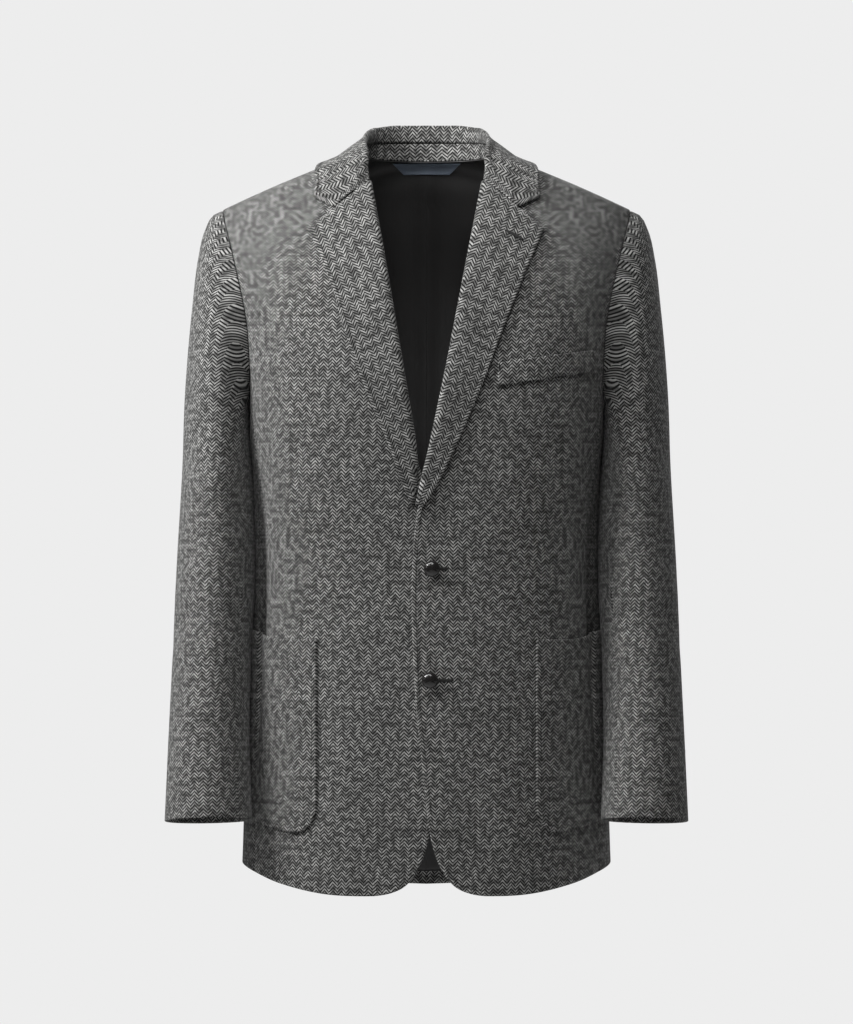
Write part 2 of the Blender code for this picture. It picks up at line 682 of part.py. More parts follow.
def cloth_mesh(name, points, mirrored):
    points = points * (-1, 1, 1) if mirrored else points
    rows, columns = points.shape[:2]
    faces = []
    for i in range(rows - 1):
        for j in range(columns - 1):
            a = i * columns + j
            quad = (a, a + 1, a + 1 + columns, a + columns)
            faces.append(quad[::-1] if mirrored else quad)
    mesh = bpy.data.meshes.new(name)
    mesh.from_pydata(points.reshape(-1, 3).tolist(), [], faces)
    mesh.shade_smooth()
    return mesh


def material(name, colour, roughness):
    made = bpy.data.materials.get(name) or bpy.data.materials.new(name)
    made.use_nodes = True
    shader = made.node_tree.nodes["Principled BSDF"]
    shader.inputs["Base Color"].default_value = colour
    shader.inputs["Roughness"].default_value = roughness
    shader.inputs["Metallic"].default_value = 0.0
    return made


def cloth(name, panel, thickness, side, finish, outwards=False):
    """One cut piece as a solid: the panel's face, with its wall inside it or, if it lies on top, outside."""
    mesh = cloth_mesh(name, panel.points, side == "right")
    mesh.materials.append(finish)
    piece = bpy.data.objects.new(name, mesh)
    jacket.objects.link(piece)
    wall = piece.modifiers.new("wall", "SOLIDIFY")
    wall.thickness = thickness
    wall.offset = 1 if outwards else -1
    wall.use_even_offset = False
    return piece


def button(name, front, x, z):
    """A turned head on a shank, its axis out of the front."""
    rim = SHANK_HEIGHT + BUTTON_RIM
    dome = [(BUTTON_RADIUS * math.cos(turn), rim + (BUTTON_HEIGHT - BUTTON_RIM) * math.sin(turn))
            for turn in np.linspace(math.pi / 2, 0, DOME_POINTS)]
    dome[0] = (0, SHANK_HEIGHT + BUTTON_HEIGHT)
    foot = [(BUTTON_FOOT, SHANK_HEIGHT), (SHANK_RADIUS, SHANK_HEIGHT), (SHANK_RADIUS, 0), (0, 0)]
    profile = [(radius, 0, height) for radius, height in dome + foot]
    mesh = bpy.data.meshes.new(name)
    mesh.from_pydata(profile, [(i, i + 1) for i in range(len(profile) - 1)], [])
    mesh.materials.append(leather)
    piece = bpy.data.objects.new(name, mesh)
    jacket.objects.link(piece)
    turned = piece.modifiers.new("turned", "SCREW")
    turned.steps = turned.render_steps = BUTTON_SIDES
    turned.use_merge_vertices = True
    turned.merge_threshold = 1e-6
    turned.use_smooth_shade = True
    piece.location = front.facing(x, z, LIE)
    piece.rotation_euler = (math.radians(90), 0, 0)
    return piece


for old in list(bpy.data.objects):
    bpy.data.objects.remove(old, do_unlink=True)
jacket = bpy.data.collections.new("tweed_jacket")
bpy.context.scene.collection.children.link(jacket)

tweed = material("tweed", TWEED_COLOUR, 0.95)
satin = material("satin", SATIN_COLOUR, 0.35)
navy = material("navy", NAVY_COLOUR, 0.6)
leather = material("leather", LEATHER_COLOUR, 0.35)

back = back_panel()
side = side_panel()
sleeve = sleeve_panel()
fronts = {"left": front_panel(True), "right": front_panel(False)}
seam_column = (360 - SLEEVE_FRONT_SEAM) // CLOCK_STEP
elbow_column = (360 - SLEEVE_BACK_SEAM) // CLOCK_STEP
half = SEAM / 2
flank = SIDE_SEAM / 2
ridge = RIDGE_SEAM / 2
arm = SLEEVE_SEAM / 2

for hand, front in fronts.items():
    cloth(f"front_{hand}", front.shrunk(rows=(0, ridge), columns=(0, flank)), TWEED, hand, tweed)
    cloth(f"side_{hand}", side.shrunk(rows=(0, half), columns=(flank, flank)), TWEED, hand, tweed)
    cloth(f"back_{hand}", back.shrunk(rows=(0, ridge), columns=(flank, half)), TWEED, hand, tweed)

    under = Panel(sleeve.points[:, seam_column:elbow_column + 1]).shrunk(columns=(arm, arm))
    around = np.concatenate([sleeve.points[:, elbow_column:], sleeve.points[:, 1:seam_column + 1]], axis=1)
    top = Panel(around).shrunk(columns=(arm, arm))
    cloth(f"under_sleeve_{hand}", under, TWEED, hand, tweed)
    cloth(f"top_sleeve_{hand}", top, TWEED, hand, tweed)

    lapel = lapel_panel(front, LAPEL_LAP if hand == "left" else LAPEL_UNDER)
    cloth(f"lapel_{hand}", lapel, LAPEL_WALL, hand, tweed, outwards=True)
    cloth(f"pocket_{hand}", pocket_panel(front, side), TWEED, hand, tweed, outwards=True)
    lining = lining_panel(back)
    cloth(f"lining_back_{hand}", lining, SATIN, hand, satin)

cloth("breast_welt", welt_panel(fronts["left"]), TWEED, "left", tweed, outwards=True)
half_fall = collar_sections(fronts["left"], back)
cloth("collar_fall", both_sides(half_fall), TWEED, "left", tweed, outwards=True)
cloth("collar_stand", both_sides(stand_sections()), TWEED, "left", tweed)
cloth("neck_label", label_panel(lining), SATIN, "left", navy)
cloth("sleeve_tab", tab_panel(top), SATIN, "left", navy, outwards=True)
for name, (x, z) in BUTTONS.items():
    button(name, fronts["left"], x, z)
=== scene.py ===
"""The looks of a herringbone tweed sports jacket, built over its cut pieces as if it were being worn."""

import math
from collections import namedtuple

import bpy
import numpy as np
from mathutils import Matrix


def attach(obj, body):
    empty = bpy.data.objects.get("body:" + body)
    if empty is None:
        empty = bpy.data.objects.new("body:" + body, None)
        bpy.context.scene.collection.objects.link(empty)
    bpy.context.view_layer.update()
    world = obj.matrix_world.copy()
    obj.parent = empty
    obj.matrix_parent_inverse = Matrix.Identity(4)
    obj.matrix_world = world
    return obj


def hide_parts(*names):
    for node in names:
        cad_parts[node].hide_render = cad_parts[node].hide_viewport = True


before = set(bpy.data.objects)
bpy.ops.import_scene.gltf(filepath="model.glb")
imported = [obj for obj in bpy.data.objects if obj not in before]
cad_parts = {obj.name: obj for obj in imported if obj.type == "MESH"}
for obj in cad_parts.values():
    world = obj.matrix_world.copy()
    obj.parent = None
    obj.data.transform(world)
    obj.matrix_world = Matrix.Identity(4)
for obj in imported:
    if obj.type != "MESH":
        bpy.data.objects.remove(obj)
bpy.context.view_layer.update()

# ---------------------------------------------------------------------------------------------------------
# The tweed: grey and black wool woven as herringbone. Light warp floats climb over a dark weft at 45 degrees
# and turn back every few threads. The yarn is heathered, so no two floats are quite the same grey.

STRIPE = 0.0047
FLOAT = 0.0036
FELL = 0.25


class Value:
    """A socket in a material. Arithmetic on it adds Math nodes."""

    def __init__(self, finish, socket):
        self.finish = finish
        self.socket = socket

    def math(self, operation, *others):
        return self.finish.node("ShaderNodeMath", {"operation": operation}, dict(enumerate([self, *others])))

    def __add__(self, other):
        return self.math("ADD", other)

    def __sub__(self, other):
        return self.math("SUBTRACT", other)

    def __rsub__(self, other):
        return self.math("MULTIPLY_ADD", -1.0, other)

    def __mul__(self, other):
        return self.math("MULTIPLY", other)

    def __truediv__(self, other):
        return self.math("DIVIDE", other)

    def __mod__(self, other):
        return self.math("FLOORED_MODULO", other)

    def __abs__(self):
        return self.math("ABSOLUTE")

    __radd__ = __add__
    __rmul__ = __mul__


class Finish:
    """A material, with one method that adds any node and gives one of its outputs."""

    def __init__(self, name, **fixed):
        self.material = bpy.data.materials.new(name)
        self.material.use_nodes = True
        self.tree = self.material.node_tree
        self.shader = self.tree.nodes["Principled BSDF"]
        for socket, value in fixed.items():
            self.shader.inputs[socket.replace("_", " ")].default_value = value

    def put(self, sockets, values):
        for name, value in values.items():
            if isinstance(value, Value):
                self.tree.links.new(value.socket, sockets[name])
            else:
                sockets[name].default_value = value

    def node(self, kind, settings=None, values=None, output=0):
        made = self.tree.nodes.new(kind)
        for name, value in (settings or {}).items():
            setattr(made, name, value)
        self.put(made.inputs, values or {})
        return Value(self, made.outputs[output])

    def smooth(self, value, low, high, to_low=0.0, to_high=1.0):
        """0 to 1 as value goes from low to high, or the two numbers given."""
        values = {0: value, 1: low, 2: high, 3: to_low, 4: to_high}
        return self.node("ShaderNodeMapRange", {"interpolation_type": "SMOOTHSTEP"}, values)

    def vector(self, x, y, z=0.0):
        return self.node("ShaderNodeCombineXYZ", {}, {0: x, 1: y, 2: z})

    def noise(self, place, scale, detail=2.0, roughness=0.5):
        values = {"Vector": place, "Scale": scale, "Detail": detail, "Roughness": roughness}
        return self.node("ShaderNodeTexNoise", {}, values)

    def mix(self, share, first, second, blend="MIX"):
        settings = {"data_type": "RGBA", "blend_type": blend, "clamp_factor": False}
        return self.node("ShaderNodeMix", settings, {0: share, 6: first, 7: second}, 2)

    def cloth_place(self):
        """Where the point is on the flat cut: across and along the warp, in metres."""
        flat = self.node("ShaderNodeUVMap", {"uv_map": "cut"})
        return [self.node("ShaderNodeSeparateXYZ", {}, {0: flat}, axis) for axis in (0, 1)]

    def attribute(self, name):
        return self.node("ShaderNodeAttribute", {"attribute_name": name}, {}, 2)

    def relief(self, height, metres):
        self.put(self.shader.inputs, {"Normal": self.node(
            "ShaderNodeBump", {}, {"Strength": 1.0, "Distance": metres, "Height": height})})


def tweed_finish(name, dark, light):
    tweed = Finish(name, Roughness=0.92, Specular_IOR_Level=0.25, Sheen_Weight=0.12, Sheen_Roughness=0.5)
    across, along = tweed.cloth_place()
    place = tweed.vector(across, along)
    # The threads wander a little, so the chevrons aren't ruled.
    across = across + (tweed.noise(place, 90.0, 1.0) - 0.5) * 0.0012
    along = along + (tweed.noise(place, 110.0, 1.0) - 0.5) * 0.0010
    climb = abs(across % (2 * STRIPE) - STRIPE)
    turned = (across / STRIPE).math("FLOOR") % 2.0
    lines = ((along + climb) / FLOAT + turned * FELL) * math.tau
    floats = tweed.smooth(lines.math("COSINE"), -0.80, 0.70)
    # Streaks along the warp and the weft, fine flecks, and slow patches of lighter and darker wool.
    warp = tweed.noise(tweed.vector(across * 600.0, along * 50.0), 1.0, 0.0)
    weft = tweed.noise(tweed.vector(across * 50.0, along * 500.0), 1.0, 0.0)
    fleck = tweed.noise(place, 480.0, 0.0, 0.5)
    heather = tweed.smooth(tweed.noise(place, 190.0, 0.0, 0.5), 0.30, 0.70, 0.60, 1.45)
    patch = tweed.noise(place, 34.0, 3.0, 0.6)
    yarn = floats * heather * (0.65 + warp * 0.8) + (weft - 0.5) * 0.1 + (fleck - 0.5) * 0.25
    colour = tweed.mix(yarn.math("MAXIMUM", 0.0).math("POWER", 1.3).math("MINIMUM", 1.9), dark, light)
    tone = 0.60 + patch * 0.80
    edge = tweed.attribute("edge")
    swell = tweed.smooth(edge, 0.0042, 0.0056, 1.0, 0.0)
    stitch = tweed.smooth(abs(edge - 0.0050), 0.0003, 0.0008, 1.0, 0.0)
    run = tweed.smooth(abs(tweed.attribute("run") % 0.0032 - 0.0016), 0.0009, 0.0013, 1.0, 0.0)
    tone = tone * (1.0 + 0.05 * swell) * (1.0 - 0.38 * stitch * (0.55 + 0.45 * run))
    colour = tweed.mix(1.0, colour, tweed.vector(tone, tone, tone), "MULTIPLY")
    tweed.put(tweed.shader.inputs, {"Base Color": colour})
    tweed.relief(floats * 0.35 - stitch * 1.6, 0.0003)
    return tweed.material


TWEED_DARK = (0.0040, 0.0040, 0.0039, 1)
TWEED_LIGHT = (0.268, 0.267, 0.260, 1)
tweed = tweed_finish("tweed", TWEED_DARK, TWEED_LIGHT)

lining = Finish("lining", Base_Color=(0.038, 0.037, 0.037, 1), Specular_IOR_Level=0.9)
across, along = lining.cloth_place()
weave = ((across * 9000.0).math("SINE") * (along * 9000.0).math("SINE")) * 0.5
slub = lining.noise(lining.vector(across * 500.0, along * 25.0), 1.0, 2.0)
lining.put(lining.shader.inputs, {"Roughness": 0.30 + slub * 0.14})
lining.relief(weave * 0.2 + slub * 0.5, 0.0002)
satin = lining.material

# ---------------------------------------------------------------------------------------------------------
# The body's form, which every panel is cut to: level sections about a side line, squarer under the arms, an
# oval armhole set as a clock face seen from the side, and a hem that climbs at the hips and dips behind.

TWEED = 0.0020
SATIN = 0.0010
SIDE_Y = 0.010
FRONT_SEAM_Y = -0.060
BACK_SEAM_Y = 0.074
Level = namedtuple("Level", "z half_width front back square side_dent")
LEVELS = [
    Level(-0.760, 0.1970, -0.130, 0.134, 2.5, 0.000),
    Level(-0.640, 0.1940, -0.131, 0.134, 2.5, 0.000),
    Level(-0.520, 0.1880, -0.129, 0.128, 2.6, 0.0003),
    Level(-0.400, 0.1850, -0.128, 0.121, 2.8, 0.0008),
    Level(-0.300, 0.1870, -0.136, 0.130, 3.1, 0.0012),
    Level(-0.225, 0.1900, -0.139, 0.137, 3.2, 0.000),
    Level(-0.155, 0.1900, -0.130, 0.138, 3.0, 0.000),
    Level(-0.100, 0.1950, -0.113, 0.132, 2.8, 0.000),
    Level(-0.050, 0.2000, -0.086, 0.118, 2.6, 0.000),
    Level(0.000, 0.2050, -0.044, 0.100, 2.5, 0.000),
    Level(0.030, 0.2100, -0.004, 0.084, 2.5, 0.000),
]
Hem = namedtuple("Hem", "turn rise")
HEM = [
    Hem(0, 0.0),
    Hem(26, 0.0),
    Hem(46, 0.009),
    Hem(66, 0.020),
    Hem(90, 0.026),
    Hem(120, 0.016),
    Hem(150, -0.002),
    Hem(180, -0.008),
]
HEM_Z = -0.755
EASE_TOP = -0.540
Clock = namedtuple("Clock", "angle x y z")
ARMHOLE = [
    Clock(0, 0.2180, 0.008, -0.034),
    Clock(30, 0.2130, 0.047, -0.053),
    Clock(60, 0.2030, 0.074, -0.097),
    Clock(90, 0.1945, 0.084, -0.152),
    Clock(120, 0.1890, 0.074, -0.206),
    Clock(150, 0.1870, 0.045, -0.245),
    Clock(180, 0.1865, 0.006, -0.258),
    Clock(210, 0.1865, -0.032, -0.245),
    Clock(240, 0.1865, -0.060, -0.208),
    Clock(270, 0.1900, -0.067, -0.155),
    Clock(300, 0.2010, -0.056, -0.101),
    Clock(330, 0.2120, -0.028, -0.058),
]
FINE = 160
UNDERARM = -0.262
SKIRT_STEP = 0.0070
UPPER_STEP = 0.0060


def follow(keys, values, at):
    """Values between a table's rows, along a smooth curve through them."""
    keys = np.asarray(keys, float)
    values = np.asarray(values, float)
    at = np.clip(np.asarray(at, float), keys[0], keys[-1])
    slopes = np.gradient(values, keys, axis=0)
    i = np.clip(np.searchsorted(keys, at, side="right") - 1, 0, len(keys) - 2)
    step = keys[i + 1] - keys[i]
    t = (at - keys[i]) / step
    for _ in range(values.ndim - 1):
        t = t[..., None]
        step = step[..., None]
    blend = 3 * t**2 - 2 * t**3
    curve = values[i] * (1 - blend) + values[i + 1] * blend
    return curve + step * (slopes[i] * t * (1 - t) ** 2 - slopes[i + 1] * t**2 * (1 - t))


def smooth(t):
    t = np.clip(t, 0.0, 1.0)
    return t * t * (3 - 2 * t)


def level_value(column, z):
    return follow([row.z for row in LEVELS], [getattr(row, column) for row in LEVELS], z)


def armhole(angle):
    """The armhole's points at these clock angles."""
    keys = [row.angle for row in ARMHOLE]
    ring = [row[1:] for row in ARMHOLE]
    keys = [keys[-2] - 360, keys[-1] - 360, *keys, 360, 390]
    ring = [ring[-2], ring[-1], *ring, ring[0], ring[1]]
    return follow(keys, ring, np.mod(angle, 360))


def hem_rise(turn, z):
    """How far a level row climbs at this turn: all of it at the hem, none above the pockets."""
    rise = follow([row.turn for row in HEM], [row.rise for row in HEM], turn)
    return rise * smooth((EASE_TOP - z) / (EASE_TOP - HEM_Z))


def lengths(line):
    steps = np.linalg.norm(np.diff(line, axis=0), axis=1)
    return np.concatenate([[0], np.cumsum(steps)])


def along_line(line, at):
    """The polyline's points at these distances along it."""
    length = lengths(line)
    return np.stack([np.interp(at, length, line[:, axis]) for axis in range(3)], axis=1)


def resample(line, count):
    """The polyline with count + 1 points, evenly spaced along it."""
    return along_line(line, np.linspace(0, lengths(line)[-1], count + 1))


def section(z_in, x_in, end, depth, half_width=None):
    """A row of cloth from x_in to end, an (x, y, z) on the body, bowed out to depth at the centre."""
    reach = abs(depth - SIDE_Y)
    side = abs(end[1] - SIDE_Y) / reach
    square = float(level_value("square", z_in))
    if half_width is None:
        half_width = end[0] / (1 - side**square) ** (1 / square)
    first = math.asin(np.clip(abs(x_in) / half_width, 0, 1) ** (square / 2)) * np.sign(x_in)
    last = math.acos(np.clip(side, 0, 1) ** (square / 2))
    turn = np.linspace(first, last, FINE * 2)
    power = 2 / square
    x = half_width * np.sign(turn) * np.abs(np.sin(turn)) ** power
    y = SIDE_Y + (depth - SIDE_Y) * np.cos(turn) ** power
    part = (x - x[0]) / (x[-1] - x[0])
    z = z_in + (end[2] - z_in) * part**1.5
    return np.stack([x, y, z], axis=1), np.degrees(turn)


def level_row(z, x_in, seam_y, column):
    """A level section from x_in to the seam at seam_y, climbing as the hem does. Column is front or back."""
    half_width = float(level_value("half_width", z))
    depth = float(level_value(column, z))
    line, turn = section(z, x_in, (half_width, seam_y, z), depth, half_width)
    line[:, 2] += hem_rise(turn if column == "front" else 180 - turn, z)
    return line


def crown(lower, seam, parts, clocks):
    """Rows that turn over the shoulder as quarter ellipses, from the row below it up to the seam."""
    rows = []
    for part in parts:
        turn = part * math.pi / 2
        row = lower + (seam - lower) * part
        row[:, 1] = seam[:, 1] + (lower[:, 1] - seam[:, 1]) * math.cos(turn)
        row[:, 2] = lower[:, 2] + (seam[:, 2] - lower[:, 2]) * math.sin(turn)
        row[-1] = armhole(clocks[0] + (clocks[1] - clocks[0]) * part)
        rows.append(row)
    return rows


# Levels of the skirt's rows, closer together at the hem, where the fronts are cut away in a curve.
HEM_WAYS = [0, 0.020, 0.032, *np.arange(0.042, 0.225, 0.0085)]
SKIRT = [HEM_Z + way**2 for way in HEM_WAYS]
SKIRT += list(np.arange(SKIRT[-1] + SKIRT_STEP, UNDERARM, SKIRT_STEP)) + [UNDERARM]
BORDER = [0, 0.0004, 0.0010, 0.0022]


def row_places(rows):
    """How far up the cloth each row lies, on average."""
    return np.concatenate([[0], np.cumsum(np.linalg.norm(np.diff(rows, axis=0), axis=2).mean(axis=1))])


def filled(rows):
    """The skirt's rows as they are, and smooth rows, evenly spaced, through those above it."""
    keys = row_places(rows)
    skirt = keys[:len(SKIRT)]
    start, end = skirt[-1], keys[-1]
    upper = np.linspace(start, end - BORDER[-1] * 2, round((end - start) / UPPER_STEP))
    return follow(keys, rows, [*skirt, *upper[1:], *(end - np.array(BORDER[::-1]))])


def loft(rows):
    return filled(np.stack([resample(row, FINE) for row in rows]))


def spread(line, count, first=BORDER, last=BORDER):
    """Points along a row: close together by each end, and evenly spaced between."""
    length = lengths(line)[-1]
    middle = np.linspace(first[-1], length - last[-1], count + 2)[1:-1]
    return along_line(line, [*first, *middle, *(length - np.array(last[::-1]))])


class Panel:
    """A piece of cloth as a grid of points on its outer face, each with its normal and its flat place."""

    def __init__(self, points, flat):
        self.points = np.asarray(points, float)
        self.flat = np.asarray(flat, float)
        normals = np.cross(np.gradient(self.points, axis=1), np.gradient(self.points, axis=0))
        self.normals = normals / np.maximum(np.linalg.norm(normals, axis=2, keepdims=True), 1e-12)

    def on(self, column, row, lift=0.0):
        """Points at fractional columns and rows, moved out by lift. Past the grid it runs on straight."""
        column, row = np.broadcast_arrays(np.asarray(column, float), np.asarray(row, float))
        rows, columns = self.points.shape[:2]
        i = np.clip(np.floor(row).astype(int), 0, rows - 2)
        j = np.clip(np.floor(column).astype(int), 0, columns - 2)
        t, s = (row - i)[..., None], (column - j)[..., None]

        def blended(grid):
            low = grid[i, j] * (1 - s) + grid[i, j + 1] * s
            return low * (1 - t) + (grid[i + 1, j] * (1 - s) + grid[i + 1, j + 1] * s) * t

        normal = blended(self.normals)
        normal /= np.linalg.norm(normal, axis=-1, keepdims=True)
        return blended(self.points) + np.asarray(lift)[..., None] * normal, normal, blended(self.flat)

    def seek(self, targets, weights=(1, 1, 1)):
        """(columns, rows) of the nearest points to targets, each axis counted by its weight."""
        targets = np.asarray(targets, float)
        weights = np.asarray(weights, float)
        rows, columns = self.points.shape[:2]
        cloud = (self.points * weights).reshape(-1, 3)
        wanted = (targets * weights).reshape(-1, 3)
        nearest = np.array([((cloud - point) ** 2).sum(axis=1).argmin() for point in wanted])
        row = (nearest // columns).astype(float)
        column = (nearest % columns).astype(float)
        for _ in range(12):
            here = self.on(column, row)[0] * weights
            right = (self.on(column + 0.05, row)[0] * weights - here) / 0.05
            up = (self.on(column, row + 0.05)[0] * weights - here) / 0.05
            miss = wanted - here
            a, b, c = (right * right).sum(1), (right * up).sum(1), (up * up).sum(1)
            d, e = (right * miss).sum(1), (up * miss).sum(1)
            det = np.maximum(a * c - b * b, 1e-18)
            column = np.clip(column + np.clip((d * c - e * b) / det, -1, 1), -2, columns + 1)
            row = np.clip(row + np.clip((e * a - d * b) / det, -1, 1), -2, rows + 1)
        return column.reshape(targets.shape[:-1]), row.reshape(targets.shape[:-1])

    def facing(self, x, z, lift):
        """Points seen from the front at these x and z, moved out by lift, with normals and flat places."""
        x, z = np.broadcast_arrays(np.asarray(x, float), np.asarray(z, float))
        column, row = self.seek(np.stack([x, x * 0, z], axis=-1), (1, 0, 1))
        return self.on(column, row, lift)


def laid_flat(grid, across):
    """The flat cut of a grid whose distances across are known: those, and the way along the warp."""
    climb = np.linalg.norm(np.diff(grid, axis=0), axis=2) ** 2 - np.diff(across, axis=0) ** 2
    climb = np.cumsum(np.sqrt(np.maximum(climb, 0)), axis=0)
    along = np.concatenate([np.zeros((1, grid.shape[1])), climb])
    return np.stack([across, along + grid[:1, :, 2]], axis=2)


def flattened(grid, start=None):
    """Where each point of a grid was on the flat cut: the distance across from start, and along the warp."""
    across = np.concatenate([np.zeros((len(grid), 1)), np.linalg.norm(np.diff(grid, axis=1), axis=2)], axis=1)
    across = np.cumsum(across, axis=1)
    return laid_flat(grid, across + (grid[:, :1, 0] if start is None else start))


Crease = namedtuple("Crease", "across_0 along_0 across_1 along_1 width height")


def creased(panel, creases):
    """The panel with soft ridges, or troughs where height is below 0, along lines drawn on its flat cut."""
    lift = np.zeros(panel.points.shape[:2])
    for crease in creases:
        start = np.array(crease[:2])
        run = np.array(crease[2:4]) - start
        part = ((panel.flat - start) @ run) / (run @ run)
        off = np.linalg.norm(panel.flat - start - np.clip(part, 0, 1)[..., None] * run, axis=2)
        taper = np.sin(np.clip(part, 0, 1) * math.pi) ** 0.7
        past = np.exp(-((off / crease.width) ** 2))
        lift += crease.height * past * (0.12 + 0.88 * taper)
    return Panel(panel.points + lift[..., None] * panel.normals, panel.flat)


def edge_distance(points, line):
    """(the distance of each point from a polyline, and how far along it the nearest place is)."""
    flat = points.reshape(-1, 3)
    best = np.full(len(flat), 1.0)
    run = np.zeros(len(flat))
    length = lengths(line)
    for k in range(len(line) - 1):
        step = line[k + 1] - line[k]
        size = step @ step
        if size < 1e-14:
            continue
        part = np.clip((flat - line[k]) @ step / size, 0, 1)
        off = np.linalg.norm(flat - line[k] - part[:, None] * step, axis=1)
        closer = off < best
        best[closer] = off[closer]
        run[closer] = length[k] + part[closer] * math.sqrt(size)
    return best.reshape(points.shape[:-1]), run.reshape(points.shape[:-1])


FAR = 1.0


def shell(name, outer, inner, flat, finishes, edge=None, run=None, mirrored=False, inside=None):
    """A closed sheet of cloth from matching grids of its outer and inner faces.

    Inside gives the finish of each cell of the inner face, as an index into finishes.
    """
    rows, columns = outer.shape[:2]
    count = rows * columns
    points = np.concatenate([outer.reshape(-1, 3), inner.reshape(-1, 3)])
    if mirrored:
        points = points * (-1, 1, 1)
    index = np.arange(count).reshape(rows, columns)
    corners = (index[:-1, :-1], index[:-1, 1:], index[1:, 1:], index[1:, :-1])
    face = np.stack(corners, axis=2).reshape(-1, 4)
    around = np.concatenate([index[0, :-1], index[:-1, -1], index[-1, :0:-1], index[:0:-1, 0]])
    ahead = np.roll(around, -1)
    rim = np.stack([ahead, around, around + count, ahead + count], axis=1)
    faces = np.concatenate([face, face[:, ::-1] + count, rim])
    if mirrored:
        faces = faces[:, ::-1]
    mesh = bpy.data.meshes.new(name)
    mesh.from_pydata(points.tolist(), [], faces.tolist())
    slots = np.zeros(len(faces), np.int32)
    if inside is not None:
        slots[len(face):2 * len(face)] = np.broadcast_to(inside, (rows - 1, columns - 1)).reshape(-1)
    for finish in finishes:
        mesh.materials.append(finish)
    mesh.polygons.foreach_set("material_index", slots)
    loops = np.empty(len(mesh.loops), np.int32)
    mesh.loops.foreach_get("vertex_index", loops)
    places = np.tile(flat.reshape(-1, 2), (2, 1))
    mesh.uv_layers.new(name="cut").data.foreach_set("uv", places[loops].astype(np.float32).reshape(-1))
    for key, values in (("edge", edge), ("run", run)):
        values = np.full((rows, columns), FAR) if values is None else values
        stored = mesh.attributes.new(key, "FLOAT", "POINT")
        stored.data.foreach_set("value", np.tile(values.reshape(-1), 2).astype(np.float32))
    mesh.shade_smooth()
    mesh.validate()
    piece = bpy.data.objects.new(name, mesh)
    bpy.context.scene.collection.objects.link(piece)
    return piece


def outline_of(points):
    return np.concatenate([points[::-1, 0], points[0], points[:, -1], points[-1, ::-1]])


def bordered(border, reach, low, high, count):
    """Shares from 0 to 1: close together by each end, where border is in metres of reach, then even."""
    border = np.array(border) / reach
    return np.array([*border, *np.linspace(low, high, count), *(1 - border[::-1])])


def rolled(distance, depth, width):
    """How far a face drops as it turns over an edge: depth at the edge, nothing from width on."""
    part = 1 - np.clip(distance / width, 0, 1)
    return -depth * (1 - np.sqrt(np.maximum(1 - part**2, 0)))


SEAM_GROOVE = 0.0011
SEAM_REACH = 0.0026


def cut_piece(name, node, panel, open_lines, seam_lines, hand="left", finishes=None,
              wall=TWEED, base=0.0, inside=None, stitched=None, swell=0.0,
              groove=SEAM_GROOVE):
    """One cut piece of cloth as a shell on its panel, its open edges rounded and its seams turned in.

    Base is how far the inner face lies outside the panel, for a piece that lies on another.
    """
    size = panel.points.shape[:2]
    free = np.full(size, FAR)
    for line in open_lines:
        free = np.minimum(free, edge_distance(panel.points, line)[0])
    sewn = np.full(size, FAR)
    for line in seam_lines:
        sewn = np.minimum(sewn, edge_distance(panel.points, line)[0])
    edge = np.full(size, FAR)
    run = np.zeros(size)
    for line in (open_lines if stitched is None else stitched):
        gap, way = edge_distance(panel.points, line)
        closer = gap < edge
        edge[closer] = gap[closer]
        run[closer] = way[closer]
    round_off = rolled(free, wall / 2, 0.0010)
    proud = swell * (1 - smooth((edge - 0.0036) / 0.0020)) * smooth(free / 0.0012)
    outside = base + (wall if base else 0.0) + round_off + rolled(sewn, groove, SEAM_REACH) + proud
    within = base - (0.0 if base else wall) - round_off + rolled(sewn, 0.0006, SEAM_REACH)
    outer = panel.points + outside[..., None] * panel.normals
    inner = panel.points + within[..., None] * panel.normals
    piece = shell(name, outer, inner, panel.flat, finishes or [tweed], edge, run, hand == "right", inside)
    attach(piece, "root")
    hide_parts(node)
    return piece


# ---------------------------------------------------------------------------------------------------------
# The fronts: one piece each from the shoulder seam to the hem, cut away in a curve below the buttons, with
# a dart from the chest to the pocket. The edges are swelled: turned in and stitched 5 mm back. The wearer's
# left laps over the right.

Edge = namedtuple("Edge", "z lap under")
FRONT_EDGE = [
    Edge(-0.755, 0.062, 0.055),
    Edge(-0.746, 0.030, 0.023),
    Edge(-0.732, 0.018, 0.011),
    Edge(-0.708, 0.0075, 0.0005),
    Edge(-0.675, 0.0010, -0.006),
    Edge(-0.630, -0.0035, -0.010),
    Edge(-0.570, -0.0100, -0.017),
    Edge(-0.500, -0.0142, -0.021),
    Edge(-0.430, -0.0156, -0.022),
    Edge(-0.351, -0.0090, -0.012),
    Edge(-0.320, -0.0030, 0.003),
    Edge(-0.260, 0.0115, 0.016),
    Edge(-0.008, 0.0600, 0.060),
    Edge(0.026, 0.0750, 0.075),
]
FrontRow = namedtuple("FrontRow", "inner clock")
FRONT_ROWS = [
    FrontRow(-0.225, 240),
    FrontRow(-0.190, 255),
    FrontRow(-0.155, 270),
    FrontRow(-0.121, 285),
    FrontRow(-0.088, 300),
    FrontRow(-0.058, 315),
    FrontRow(-0.030, 330),
    FrontRow(0.000, 345),
]
NECK_POINT = (0.075, 0.008, 0.026)
LAP_SHIFT = 0.0014
LAP_WIDTH = 0.075
SWELL = 0.0004
ROLL_COVER = 0.0026
PAD = 0.0024
EDGE_BORDER = [0, 0.0004, 0.0010, 0.0022, 0.0036, 0.0046, 0.0056, 0.0072]
FRONT_COLUMNS = 44
